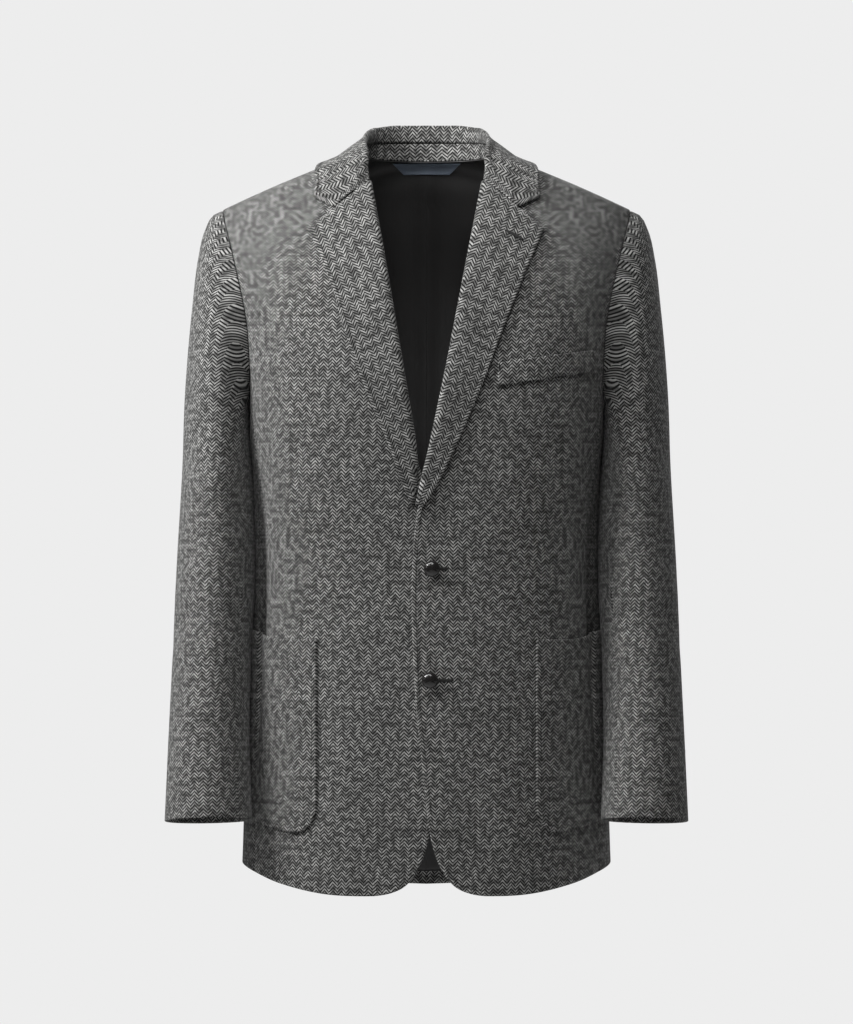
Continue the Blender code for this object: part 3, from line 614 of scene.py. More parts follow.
FRONT_CREASES = [
    # The hollow beside the sleeve, below the armhole.
    Crease(0.210, -0.300, 0.212, -0.640, 0.018, -0.0090),
    # The hang from the armhole down the side of the chest, and the pulls from the top button.
    Crease(0.178, -0.240, 0.186, -0.470, 0.016, -0.0016),
    Crease(0.150, -0.200, 0.166, -0.380, 0.018, 0.0010),
    Crease(0.012, -0.408, 0.120, -0.350, 0.011, 0.0009),
    Crease(0.010, -0.424, 0.135, -0.455, 0.013, -0.0008),
    Crease(0.008, -0.530, 0.090, -0.560, 0.014, 0.0006),
    Crease(0.040, -0.580, 0.050, -0.740, 0.020, -0.0012),
    Crease(0.085, -0.600, 0.098, -0.750, 0.022, 0.0012),
    Crease(0.120, -0.060, 0.165, -0.190, 0.020, -0.0010),
]
DARTS = {
    "right": Crease(0.141, -0.300, 0.136, -0.486, 0.0012, -0.0007),
    "left": Crease(0.138, -0.245, 0.133, -0.470, 0.0012, -0.0007),
}


def edge_x(z, lap):
    """The front edge's x, followed over the way round the curve, which is steep at the hem."""
    ways = [math.sqrt(row.z - HEM_Z) for row in FRONT_EDGE]
    edge = [row.lap if lap else row.under for row in FRONT_EDGE]
    # Above the break it is straight, and set back inside the roll.
    above = np.interp(z, [row.z for row in FRONT_EDGE], edge) + ROLL_COVER
    below = float(follow(ways, edge, math.sqrt(max(z - HEM_Z, 0))))
    return float(below + (above - below) * smooth((z + 0.335) / 0.06))


def padded(rows):
    """The rows raised a little on the shoulders."""
    rows[:, :, 2] += PAD * smooth((rows[:, :, 2] + 0.050) / 0.045)
    return rows


def front_rows(lap):
    rows = [level_row(z, edge_x(z, lap), FRONT_SEAM_Y, "front") for z in SKIRT]
    for row in FRONT_ROWS:
        depth = float(level_value("front", row.inner))
        rows.append(section(row.inner, edge_x(row.inner, lap), armhole(row.clock), depth)[0])
    seam = resample(np.linspace(NECK_POINT, armhole(360), FINE), FINE)
    rows += crown(resample(rows[-1], FINE), seam, [0.25, 0.5, 0.75], (345, 360))
    rows = loft([*rows, seam])
    near = 1 - smooth(rows[:, :, 0] / LAP_WIDTH)
    rows[:, :, 1] += (-LAP_SHIFT if lap else LAP_SHIFT) * near
    return padded(rows)


def panel_of(rows, count, first=BORDER, last=BORDER, creases=()):
    grid = np.stack([spread(row, count, first, last) for row in rows])
    return creased(Panel(grid, flattened(grid)), creases)


rows = {"left": front_rows(True), "right": front_rows(False)}
fronts = {hand: panel_of(rows[hand], FRONT_COLUMNS, [0, 0.004], [0, 0.004], FRONT_CREASES) for hand in rows}
for hand in ("left", "right"):
    creases = [*FRONT_CREASES, DARTS[hand]]
    panel = panel_of(rows[hand], FRONT_COLUMNS, EDGE_BORDER, BORDER, creases)
    points = panel.points
    # The edge from the hem up to the break; above it the cloth rolls back as the lapel.
    edge_line = np.concatenate([points[0, ::-1], points[1:, 0]])
    cut_piece(f"{hand}_front", f"front_{hand}", panel, [edge_line], [points[:, -1], points[-1]],
              hand, [tweed, satin], inside=1, stitched=[points[:, 0]], swell=SWELL)

# ---------------------------------------------------------------------------------------------------------
# The side bodies: a plain piece under each arm, between the front and the back, from the armhole to the hem.

FRONT_CLOCK = 240
BACK_CLOCK = 120
SIDE_START = 0.9
SIDE_DIP = 0.055
SIDE_COLUMNS = 26
SIDE_CREASES = [
    Crease(0.006, -0.300, 0.008, -0.640, 0.020, -0.0090),
    Crease(0.030, -0.280, 0.050, -0.500, 0.014, -0.0010),
    Crease(0.085, -0.330, 0.075, -0.560, 0.016, 0.0010),
    Crease(0.060, -0.560, 0.066, -0.730, 0.018, -0.0010),
]


def side_rows():
    rows = []
    for z in SKIRT:
        start = float(level_value("half_width", z)) * SIDE_START
        front = level_row(z, start, SIDE_Y, "front")
        back = level_row(z, start, SIDE_Y, "back")[::-1]
        line = np.concatenate([front, back[1:]])
        inside = (line[:, 1] > FRONT_SEAM_Y) & (line[:, 1] < BACK_SEAM_Y)
        ends = [np.array([np.interp(y, line[:, 1], line[:, 0]), y, np.interp(y, line[:, 1], line[:, 2])])
                for y in (FRONT_SEAM_Y, BACK_SEAM_Y)]
        line = resample(np.concatenate([ends[:1], line[inside], ends[1:]]), FINE)
        line[:, 0] -= level_value("side_dent", z) * np.sin(np.linspace(0, np.pi, FINE + 1)) ** 2
        rows.append(line)
    under = armhole(np.linspace(FRONT_CLOCK, BACK_CLOCK, FINE + 1))
    # The rows near the top dip under the arm.
    dip = under[:, 2] - under[[0, -1], 2].mean()
    for row in rows:
        row[:, 2] += dip * 0.45 * smooth(1 - (UNDERARM - row[:, 2].max()) / SIDE_DIP)
    return loft([*rows, under])


side_cloth = side_rows()
plain_side = panel_of(side_cloth, SIDE_COLUMNS)
grid = np.stack([spread(row, SIDE_COLUMNS) for row in side_cloth])
side_panel = creased(Panel(grid, flattened(grid, np.zeros((len(grid), 1)))), SIDE_CREASES)
points = side_panel.points
seams = [points[:, 0], points[:, -1], points[-1]]
for hand in ("left", "right"):
    cut_piece(f"{hand}_side", f"side_{hand}", side_panel, [points[0]], seams,
              hand, [tweed, satin], inside=1, stitched=[])

# ---------------------------------------------------------------------------------------------------------
# The back: two pieces seamed down the middle, over the shoulder blades and up to the neck, and inside it the
# black lining, with an ease pleat down the centre and the tweed's turned-up hem showing below it.

BACK_NECK = [(0.0, 0.085, 0.024), (0.036, 0.077, 0.0245), (0.063, 0.050, 0.025), NECK_POINT]
BACK_ROWS = [
    FrontRow(-0.215, 120),
    FrontRow(-0.180, 105),
    FrontRow(-0.146, 90),
    FrontRow(-0.112, 75),
    FrontRow(-0.080, 60),
    FrontRow(-0.050, 45),
    FrontRow(-0.024, 30),
    FrontRow(0.000, 15),
]
BACK_COLUMNS = 44
BACK_CREASES = [
    Crease(0.060, -0.100, 0.150, -0.200, 0.024, 0.0016),
    Crease(0.165, -0.170, 0.150, -0.330, 0.016, -0.0020),
    Crease(0.120, -0.210, 0.135, -0.400, 0.020, 0.0012),
    Crease(0.010, -0.340, 0.120, -0.370, 0.016, -0.0012),
    Crease(0.015, -0.385, 0.150, -0.400, 0.018, 0.0010),
    Crease(0.070, -0.450, 0.080, -0.740, 0.026, 0.0018),
    Crease(0.125, -0.480, 0.135, -0.740, 0.022, -0.0016),
    Crease(0.030, -0.520, 0.028, -0.750, 0.018, -0.0010),
]


def back_rows():
    rows = [level_row(z, 0.0, BACK_SEAM_Y, "back") for z in SKIRT]
    upper = [section(row.inner, 0.0, armhole(row.clock), float(level_value("back", row.inner)))[0]
             for row in BACK_ROWS]
    neck = follow(range(len(BACK_NECK)), BACK_NECK, np.linspace(0, len(BACK_NECK) - 1, FINE))
    shoulder = np.linspace(NECK_POINT, armhole(0), FINE)
    third = FINE // 3
    top = np.concatenate([resample(neck, third), resample(shoulder, FINE - third)[1:]])
    # The seam's columns settle towards the level rows' spacing over the rows below it.
    share = lengths(top) / lengths(top)[-1]
    even = np.linspace(0, 1, len(share))
    for i, row in enumerate(upper):
        want = even + (share - even) * (i + 1) / (len(BACK_ROWS) + 1)
        upper[i] = along_line(row, want * lengths(row)[-1])
    rows += upper
    rows += crown(rows[-1], top, [0.2, 0.4, 0.6, 0.8], (15, 0))
    stacked = [resample(row, FINE) for row in rows[:len(SKIRT)]] + rows[len(SKIRT):] + [top]
    return padded(filled(np.stack(stacked)))


def by_share(rows, count, ends=BORDER):
    """Columns at the same shares of every row, so that those of the top's two stretches stay in line."""
    grid = []
    for row in rows:
        length = lengths(row)[-1]
        keys = np.linspace(0, 1, len(row))
        near = np.interp(ends, lengths(row), keys)
        far = np.interp(length - np.array(ends[::-1]), lengths(row), keys)
        at = [*near, *np.linspace(near[-1], far[0], count + 2)[1:-1], *far]
        grid.append(np.stack([np.interp(at, keys, row[:, axis]) for axis in range(3)], axis=1))
    return np.stack(grid)[:, ::-1]


def from_last(grid):
    """The flat cut measured from the last column, which lies on the centre line."""
    return flattened(grid[:, ::-1])[:, ::-1]


grid = by_share(back_rows(), BACK_COLUMNS)
back = creased(Panel(grid, from_last(grid)), BACK_CREASES)
points = back.points
seams = [points[:, 0], points[:, -1], points[-1]]
for hand in ("left", "right"):
    cut_piece(f"{hand}_back", f"back_{hand}", back, [points[0]], seams,
              hand, stitched=[])

LINING_GAP = 0.0009
LINING_HEM = 0.012
PLEAT_LIFT = 0.0030
PLEAT_WIDTH = 0.011
LINING_FOLDS = [
    Crease(0.030, -0.060, 0.022, -0.420, 0.010, -0.0016),
    Crease(0.055, -0.040, 0.040, -0.460, 0.011, 0.0018),
    Crease(0.078, -0.080, 0.060, -0.420, 0.012, -0.0022),
    Crease(0.110, -0.120, 0.085, -0.500, 0.016, 0.0014),
    Crease(0.020, -0.300, 0.030, -0.700, 0.014, 0.0012),
    Crease(0.070, -0.380, 0.066, -0.720, 0.018, -0.0014),
]


def lining_grid():
    """Inside the back: below the neck, and in to the pleat at the centre."""
    keep = np.linalg.norm(back.points[:, 2] - back.points[0, 2], axis=1) > LINING_HEM
    grid = back.points[keep] - (TWEED + LINING_GAP) * back.normals[keep]
    flat = back.flat[keep]
    near = np.exp(-((flat[:, :, 0] / PLEAT_WIDTH) ** 2))
    grid[:, :, 1] -= PLEAT_LIFT * near
    return Panel(grid, flat)


lined = creased(lining_grid(), LINING_FOLDS)
points = lined.points
for hand in ("left", "right"):
    cut_piece(f"{hand}_back_lining", f"lining_back_{hand}", lined, [points[0]], [],
              hand, [satin], wall=SATIN, stitched=[])

# ---------------------------------------------------------------------------------------------------------
# The sleeves: a wide top piece and a narrow under piece, seamed down the front and the elbow, eased into the
# armhole and curving forward to an open cuff, whose inside shows the turned-up tweed and then the lining.

Ring = namedtuple("Ring", "outer_x outer_z inner_x inner_z y half_depth cap")
RINGS = [
    Ring(0.2190, -0.0345, 0.1870, -0.2590, 0.006, 0.077, 1.00),
    Ring(0.2280, -0.0390, 0.1872, -0.2640, 0.006, 0.078, 0.90),
    Ring(0.2370, -0.0560, 0.1872, -0.2730, 0.005, 0.079, 0.65),
    Ring(0.2440, -0.0870, 0.1865, -0.2860, 0.003, 0.079, 0.35),
    Ring(0.2500, -0.1400, 0.1850, -0.3040, 0.000, 0.078, 0.12),
    Ring(0.2560, -0.2200, 0.1830, -0.3340, -0.005, 0.076, 0.0),
    Ring(0.2600, -0.3150, 0.1820, -0.3780, -0.014, 0.071, 0.0),
    Ring(0.2650, -0.4100, 0.1825, -0.4400, -0.026, 0.065, 0.0),
    Ring(0.2683, -0.5000, 0.1855, -0.5150, -0.042, 0.059, 0.0),
    Ring(0.2718, -0.5900, 0.1865, -0.5950, -0.062, 0.053, 0.0),
    Ring(0.2750, -0.6810, 0.1830, -0.6790, -0.082, 0.048, 0.0),
]
CUFF_TILT = 0.13
TILT_FROM = -0.45
TILT_OVER = 0.22
FRONT_SEAM = 225
ELBOW_SEAM = 120
RING_COUNT = 96
CUFF_TURN_UP = 0.035
SLEEVE_GROOVE = 0.0007
SLEEVE_CREASES = [
    # Under the armhole in front, the drag to the elbow, and the bend in front of it.
    Crease(-0.105, -0.230, -0.030, -0.300, 0.011, -0.0016),
    Crease(-0.120, -0.290, -0.040, -0.350, 0.012, 0.0012),
    Crease(-0.110, -0.350, -0.020, -0.420, 0.011, -0.0014),
    Crease(-0.100, -0.400, -0.010, -0.440, 0.010, 0.0011),
    Crease(-0.095, -0.440, 0.000, -0.500, 0.010, -0.0013),
    Crease(-0.030, -0.120, -0.012, -0.280, 0.016, 0.0010),
    Crease(0.045, -0.130, 0.060, -0.300, 0.018, -0.0012),
    Crease(0.100, -0.350, 0.030, -0.420, 0.013, -0.0014),
    Crease(0.095, -0.420, 0.020, -0.460, 0.012, 0.0012),
    Crease(0.090, -0.480, 0.030, -0.530, 0.012, -0.0010),
    Crease(-0.060, -0.540, -0.045, -0.650, 0.014, 0.0008),
]


def sleeve_rings(angles):
    """The sleeve's rings, each with a point at these clock angles, as fine rows from the cuff up."""
    turn = np.radians(angles)
    hole = armhole(angles)
    top, bottom = armhole(np.array([0.0, 180.0]))
    middle = (top + bottom) / 2
    chord = (top - bottom) / 2
    along = (hole - middle) @ chord / (chord @ chord)
    out = hole - middle - along[:, None] * chord
    grid = []
    for ring in RINGS:
        outer = np.array([ring.outer_x, ring.y, ring.outer_z])
        inner = np.array([ring.inner_x, ring.y, ring.inner_z])
        centre = (outer + inner) / 2
        arm = (outer - inner) / 2
        cap = along * ring.cap + np.cos(turn) * (1 - ring.cap)
        depth = out[:, 1] * ring.cap + np.sin(turn) * ring.half_depth * (1 - ring.cap)
        tilt = CUFF_TILT * smooth((TILT_FROM - centre[2]) / TILT_OVER)
        points = centre + cap[:, None] * arm
        points[:, 1] += depth
        points[:, 0] += out[:, 0] * ring.cap
        points[:, 2] += out[:, 2] * ring.cap - tilt * np.sin(turn) * ring.half_depth
        grid.append(points)
    grid[0] = hole
    keys = row_places(grid)
    middle = np.linspace(BORDER[-1], keys[-1] - BORDER[-1], RING_COUNT)[1:-1]
    return follow(keys, grid, [*BORDER, *middle, *(keys[-1] - np.array(BORDER[::-1]))])[::-1]


def sleeve_panel(first, last, count, centre):
    """The sleeve between two clock angles. Its cut is measured from the line at the centre angle."""
    rings = sleeve_rings(np.linspace(first, last, FINE + 1))
    grid = np.stack([spread(row, count) for row in rings])
    # The rings slope, so the cut is measured level round the arm, and then up it.
    level = np.linalg.norm(np.diff(grid, axis=1)[:, :, :2], axis=2)
    across = np.concatenate([np.zeros((len(grid), 1)), np.cumsum(level, axis=1)], axis=1)
    across -= across[:, -1:] * (centre - first) / (last - first)
    return creased(Panel(grid, laid_flat(grid, across)), SLEEVE_CREASES)


top_sleeve = sleeve_panel(FRONT_SEAM - 360, ELBOW_SEAM, 74, 0)
under_sleeve = sleeve_panel(ELBOW_SEAM, FRONT_SEAM, 30, 180)
for name, panel, size, area in (("top_sleeve", top_sleeve, (0.265, 0.660), 0.140),
                                ("under_sleeve", under_sleeve, (0.150, 0.500), 0.055)):
    points = panel.points
    above_hem = panel.flat[:, 0, 1] - panel.flat[0, 0, 1] > CUFF_TURN_UP
    within = np.arange(len(points) - 1) > np.argmax(above_hem)
    for hand in ("left", "right"):
        seams = [points[:, 0], points[:, -1], points[-1]]
        cut_piece(f"{hand}_{name}", f"{name}_{hand}", panel, [points[0]], seams, hand,
                  [tweed, satin], inside=within.astype(int)[:, None], stitched=[], groove=SLEEVE_GROOVE)

# ---------------------------------------------------------------------------------------------------------
# The lapels: the front's facing rolled back on itself along the neck edge, from the break above the top
# button up to the gorge. The roll is round and full, and flattens out towards the break. The grain runs
# along the outer edge, which is swelled as the fronts are.

LapelRow = namedtuple("LapelRow", "roll_x roll_z edge_x edge_z")
LAPELS = {
    "left": [
        LapelRow(-0.0090, -0.3480, -0.0050, -0.3530),
        LapelRow(-0.0030, -0.3200, 0.0060, -0.3360),
        LapelRow(0.0050, -0.2870, 0.0240, -0.3020),
        LapelRow(0.0215, -0.2080, 0.0590, -0.2220),
        LapelRow(0.0285, -0.1720, 0.0720, -0.1860),
        LapelRow(0.0448, -0.0870, 0.1020, -0.1090),
        LapelRow(0.0600, -0.0090, 0.1233, -0.0592),
    ],
    "right": [
        LapelRow(0.0150, -0.3500, 0.0180, -0.3440),
        LapelRow(0.0120, -0.3200, 0.0290, -0.3170),
        LapelRow(0.0130, -0.2850, 0.0385, -0.2890),
        LapelRow(0.0255, -0.2080, 0.0660, -0.2220),
        LapelRow(0.0315, -0.1720, 0.0790, -0.1860),
        LapelRow(0.0458, -0.0870, 0.1030, -0.1090),
        LapelRow(0.0600, -0.0090, 0.1233, -0.0592),
    ],
}
LAPEL_WALL = 0.0024
LAPEL_FULL_WIDTH = 0.045
LAPEL_ROWS = 78
LAPEL_COLUMNS = 30
ROLL_RADIUS = 0.0048
ROLL_INSET = 0.0028
ROLL_HEIGHT = 0.0012
ROLL_STEPS = 9
ROLL_TUCK = 0.010
EDGE_LIFT = 0.0012
LAPEL_GRAIN = math.radians(22)
LIE = 0.0004


def lapel_panel(front, table):
    """The lapel's under face, from a tuck behind the neck edge, round the roll and out to the edge."""
    ways = np.linspace(0, len(table) - 1, LAPEL_ROWS)
    line = follow(range(len(table)), table, ways)
    roll, edge = line[:, :2], line[:, 2:]
    width = np.linalg.norm(edge - roll, axis=1)
    reach = np.clip(width / LAPEL_FULL_WIDTH, 0.12, 1.0)
    start, normal, _ = front.facing(roll[:, 0], roll[:, 1], 0.0)
    towards = front.facing(*(roll + (edge - roll) * 0.4).T, 0.0)[0] - start
    towards -= (towards * normal).sum(1, keepdims=True) * normal
    towards /= np.linalg.norm(towards, axis=1, keepdims=True)
    radius = (ROLL_RADIUS - LAPEL_WALL) * reach + 0.0004
    inset = ROLL_INSET * reach
    height = ROLL_HEIGHT * reach
    columns = []
    flat = []
    for turn in [None, *np.linspace(-math.pi / 2, math.pi / 2, ROLL_STEPS)]:
        if turn is None:
            aside, up = inset + ROLL_TUCK * reach, height - radius
            way = inset - (math.pi * radius) - ROLL_TUCK * reach
        else:
            aside, up = inset - radius * math.cos(turn), height + radius * math.sin(turn)
            way = inset - radius * (math.pi / 2 - turn)
        columns.append(start + aside[:, None] * towards + up[:, None] * normal)
        flat.append(roll + (edge - roll) * (way / width)[:, None])
    top = height + radius
    first = (inset / width)[:, None]
    spots = np.linspace(0, 1, LAPEL_COLUMNS + 1)[1:]
    spots = np.sort(np.concatenate([spots, 1 - np.array([0.0004, 0.001, 0.0022, 0.0036, 0.0056]) / 0.06]))
    for spot in spots:
        part = first + (1 - first) * spot
        x, z = (roll + (edge - roll) * part).T
        lift = EDGE_LIFT + (top - EDGE_LIFT) * (1 - smooth(spot * 1.05)) + LIE
        columns.append(front.facing(x, z, lift)[0])
        flat.append(np.stack([x, z], axis=1))
    flat = np.stack(flat, axis=1)
    cosine, sine = math.cos(LAPEL_GRAIN), math.sin(LAPEL_GRAIN)
    return Panel(np.stack(columns, axis=1), flat @ np.array([[cosine, sine], [-sine, cosine]]))


for hand, table in LAPELS.items():
    panel = lapel_panel(fronts[hand], table)
    points = panel.points
    cut_piece(f"{hand}_lapel", f"lapel_{hand}", panel, [points[:, -1], points[-1, -LAPEL_COLUMNS:]], [],
              hand, wall=LAPEL_WALL, base=1e-5,
              stitched=[points[:, -1], points[-1, -LAPEL_COLUMNS // 2:]],
              swell=SWELL)

# ---------------------------------------------------------------------------------------------------------
# The collar: an upright stand round the back of the neck, and the fall, sewn to it inside, which turns over
# the fold, lies on the back and shoulders and meets the lapels at the gorge seam.

Station = namedtuple("Station", "seam fold edge")
COLLAR = [
    Station((0.000, 0.0850, 0.0245), (0.000, 0.0920, 0.0620), (0.000, 0.100, 0.010)),
    Station((0.020, 0.0830, 0.0247), (0.020, 0.0900, 0.0615), (0.028, 0.098, 0.010)),
    Station((0.038, 0.0755, 0.0250), (0.038, 0.0820, 0.0600), (0.055, 0.091, 0.009)),
    Station((0.055, 0.0605, 0.0255), (0.053, 0.0660, 0.0570), (0.076, 0.074, 0.010)),
    Station((0.067, 0.0400, 0.0260), (0.060, 0.0420, 0.0520), (0.096, 0.048, 0.011)),
    Station((0.0745, 0.0120, 0.0270), (0.0635, 0.0120, 0.0440), (0.110, 0.012, 0.013)),
    Station((0.0730, -0.0110, 0.0245), (0.064, -0.0130, 0.0360), (0.116, -0.020, 0.006)),
    Station((0.0685, -0.0310, 0.0175), (0.0615, -0.0340, 0.0235), (0.118, -0.042, -0.005)),
]
Spot = namedtuple("Spot", "x z")
GORGE_LINE = [
    Spot(0.0600, -0.0060),
    Spot(0.0680, -0.0125),
    Spot(0.0760, -0.0190),
    Spot(0.0850, -0.0265),
    Spot(0.0960, -0.0355),
    Spot(0.1080, -0.0305),
    Spot(0.1190, -0.0255),
]
GORGE_LIFT = 0.0020
STAND_PART = 0.53
STAND_RISE = 0.040
FOLD_START = 0.86
COLLAR_FOLD_WIDTH = 0.0045
COLLAR_CREST = 0.0006
COLLAR_DROP = 0.0030
COLLAR_BULGE = -0.0045
COLLAR_STATIONS = 74
COLLAR_COLUMNS = 38
WIDER_WEAVE = (1.24, 1.10)


def clear_of(panels, points, lift):
    """The points, those nearer to a panel than lift moved out to it."""
    shape = points.shape
    points = points.reshape(-1, 3).copy()
    for panel in panels:
        column, row = panel.seek(points)
        rows, columns = panel.points.shape[:2]
        base, normal, _ = panel.on(column, row)
        gap = ((points - base) * normal).sum(axis=1)
        inside = (column >= 0) & (column <= columns - 1) & (row >= 0) & (row <= rows - 1)
        near = inside & (gap < lift) & (gap > -0.03)
        points[near] = (base + lift * normal)[near]
    return points.reshape(shape)


def across_both(grid, along_from, sign):
    """Half the collar's sections carried round to the other end, with the cut of the whole."""
    way = row_places(grid)
    down = np.cumsum(np.linalg.norm(np.diff(grid, axis=1), axis=2), axis=1)
    down = sign * np.concatenate([np.zeros((len(grid), 1)), down], axis=1) + along_from
    flat = np.stack([np.broadcast_to(way[:, None], down.shape), down], axis=2) / WIDER_WEAVE
    whole = np.concatenate([grid[:0:-1] * (-1, 1, 1), grid])[::-1]
    cut = np.concatenate([flat[:0:-1] * (-1, 1), flat])[::-1]
    return Panel(whole, cut)


lines = []
for station in np.array(COLLAR):
    seam, fold, edge = station
    out = (edge - fold) * (1, 1, 0)
    out /= np.linalg.norm(out)
    rise = fold - seam
    over = fold + out * COLLAR_FOLD_WIDTH
    half = (over + edge) / 2 + out * COLLAR_BULGE
    lines.append([seam + rise * STAND_PART, seam + rise * FOLD_START,
                  fold + out * COLLAR_FOLD_WIDTH / 2 + (0, 0, COLLAR_CREST), over - (0, 0, COLLAR_DROP),
                  (over + half) / 2, (half + edge) / 2, edge])
gorge = np.array(GORGE_LINE)
lines.append(fronts["left"].facing(gorge[:, 0], gorge[:, 1], GORGE_LIFT)[0])
lines = np.array(lines)
steps = row_places(lines)
ends = steps[-1] - np.array([0.0022, 0.0010, 0.0004, 0])
lines = follow(steps, lines, [*np.linspace(0, steps[-1], COLLAR_STATIONS)[:-1], *ends])
fall = []
for line in lines:
    bend = follow(lengths(line), line, np.linspace(0, lengths(line)[-1], FINE))
    fall.append(spread(bend, COLLAR_COLUMNS, [0, 0.002], EDGE_BORDER))
fall = np.array(fall)
outer = COLLAR_COLUMNS // 3
fall[:, outer:] = clear_of((fronts["left"], back), fall[:, outer:], TWEED + LIE)
panel = across_both(fall, 0.0, 1)
points = panel.points
cut_piece("fall", "collar_fall", panel, [points[:, -1], points[0, COLLAR_COLUMNS // 2:],
          points[-1, COLLAR_COLUMNS // 2:]], [points[:, 0]], wall=TWEED, base=1e-5,
          stitched=[points[:, -1], points[0, COLLAR_COLUMNS // 2:], points[-1, COLLAR_COLUMNS // 2:]],
          swell=SWELL)

keys = np.linspace(0, len(COLLAR) - 1, COLLAR_STATIONS)
stand = follow(range(len(COLLAR)), np.array(COLLAR)[:, :2], keys)
border = np.array(BORDER) / STAND_RISE
parts = np.concatenate([border, np.linspace(0.08, 0.47, 8), STAND_PART - border[::-1]])
stand = stand[:, :1] + (stand[:, 1:] - stand[:, :1]) * parts[None, :, None]
panel = across_both(stand, -STAND_PART * 0.038, -1)
panel.flat[:, :, 1] *= -1
points = panel.points
cut_piece("stand", "collar_stand", panel, [], [points[:, 0], points[:, -1]],
          stitched=[])

# ---------------------------------------------------------------------------------------------------------
# The patch pockets, on the fronts and on round the sides, cut to match the weave beneath. The lower corners
# are round, the edges swelled and stitched, and the mouth stands a little open. Above the left one's
# level, on the chest, is the breast pocket's slanting welt, with a bar tack at each end.

POCKET_START = 0.116
POCKET_WIDTH = 0.170
POCKET_TOP = -0.489
POCKET_BOTTOM = -0.697
POCKET_CORNER = 0.034
POCKET_KICK = 0.008
POCKET_KICK_FROM = 0.042
POCKET_KICK_OVER = 0.060
POCKET_LIFT = 0.0006
POCKET_GAPE = 0.0016
POCKET_COLUMNS = 44
POCKET_ROWS = 42


def skirt_panel(front):
    """The front and the side below the armhole as one panel."""
    count = len(SKIRT)
    grid = np.concatenate([front.points[:count], plain_side.points[:count, 1:]], axis=1)
    return Panel(grid, flattened(grid))


def pocket_panel(skirt):
    levels = np.array(SKIRT)
    across = skirt.flat[:, :, 0]
    columns = np.arange(across.shape[1])
    bend = POCKET_CORNER * (1 - np.cos(np.linspace(0, np.pi / 2, 14)))
    ends = [0, 0.0004, 0.0010]
    inside = np.linspace(POCKET_CORNER, POCKET_WIDTH - POCKET_CORNER, POCKET_COLUMNS - 20)
    distance = np.unique(np.round(np.concatenate([ends, bend, inside, POCKET_WIDTH - bend,
                                                  POCKET_WIDTH - np.array(ends)]), 6))
    inset = np.maximum(np.maximum(POCKET_CORNER - distance, distance - POCKET_WIDTH + POCKET_CORNER), 0)
    bottom = POCKET_BOTTOM + POCKET_CORNER - np.sqrt(np.maximum(POCKET_CORNER**2 - inset**2, 0))
    top = POCKET_TOP + POCKET_KICK * smooth((distance - POCKET_KICK_FROM) / POCKET_KICK_OVER)
    shares = np.linspace(0, 1, POCKET_ROWS)
    border = np.array(EDGE_BORDER[1:]) / 0.2
    shares = np.sort(np.concatenate([shares, border, 1 - border]))
    z = bottom + (top - bottom) * shares[:, None]
    row = np.interp(z, levels, range(len(levels)))
    column = np.empty_like(row)
    for i, j in np.ndindex(row.shape):
        k = min(int(row[i, j]), len(levels) - 2)
        low, high = (np.interp(POCKET_START + distance[j], across[m], columns) for m in (k, k + 1))
        column[i, j] = low + (high - low) * (row[i, j] - k)
    gape = np.sin(np.pi * distance / POCKET_WIDTH) * smooth((shares[:, None] - 0.72) / 0.28)
    points, _, flat = skirt.on(column, row, POCKET_LIFT + POCKET_GAPE * gape)
    return Panel(points, flat)


for hand in ("left", "right"):
    panel = pocket_panel(skirt_panel(fronts[hand]))
    points = panel.points
    outline = np.concatenate([points[::-1, 0], points[0], points[:, -1]])
    cut_piece(f"{hand}_pocket", f"pocket_{hand}", panel, [outline, points[-1]], [],
              hand, base=1e-5, stitched=[outline], swell=SWELL)

WELT_CORNERS = [Spot(0.0739, -0.2255), Spot(0.1745, -0.2095), Spot(0.1735, -0.1865), Spot(0.0739, -0.2010)]
WELT_LIFT = 0.0008
low_in, low_out, high_out, high_in = np.array(WELT_CORNERS)
up = bordered(BORDER, 0.024, 0.15, 0.85, 8)
side_share = bordered(BORDER, 0.1, 0.05, 0.95, 30)
start = low_in + (high_in - low_in) * up[:, None]
end = low_out + (high_out - low_out) * up[:, None]
spots = start[:, None] + (end - start)[:, None] * side_share[:, None]
points, _, flat = fronts["left"].facing(spots[..., 0], spots[..., 1], WELT_LIFT)
panel = Panel(points, flat)
outline = outline_of(points)
cut_piece("welt", "breast_welt", panel, [outline], [], base=1e-5, stitched=[])

# ---------------------------------------------------------------------------------------------------------
# Two blank ribbon labels: one at the neck, wider at the top, and a little navy tab on the left sleeve. The
# neck's is navy too, but its colour is painted a much lighter blue, as painted light to show in the shade
# there.


def ribbon_finish(name, colour):
    ribbon = Finish(name, Roughness=0.6, Sheen_Weight=0.15)
    across, along = ribbon.cloth_place()
    ribs = ((along * (math.tau / 0.0009)).math("SINE")) * 0.5 + 0.5
    thread = ribbon.noise(ribbon.vector(across * 900.0, along * 300.0), 1.0, 2.0)
    shade = 0.75 + 0.3 * ribs * (0.6 + thread * 0.8)
    shaded = ribbon.mix(1.0, colour, ribbon.vector(shade, shade, shade), "MULTIPLY")
    ribbon.put(ribbon.shader.inputs, {"Base Color": shaded})
    ribbon.relief(ribs * 0.6 + thread * 0.4, 0.0003)
    return ribbon.material


# Painted light: the neck label is navy, painted much lighter so that it shows in the shade inside the collar.
painted_light_label_ribbon = ribbon_finish("painted_light_label_ribbon", (0.430, 0.520, 0.660, 1))
navy = ribbon_finish("navy", (0.075, 0.096, 0.135, 1))

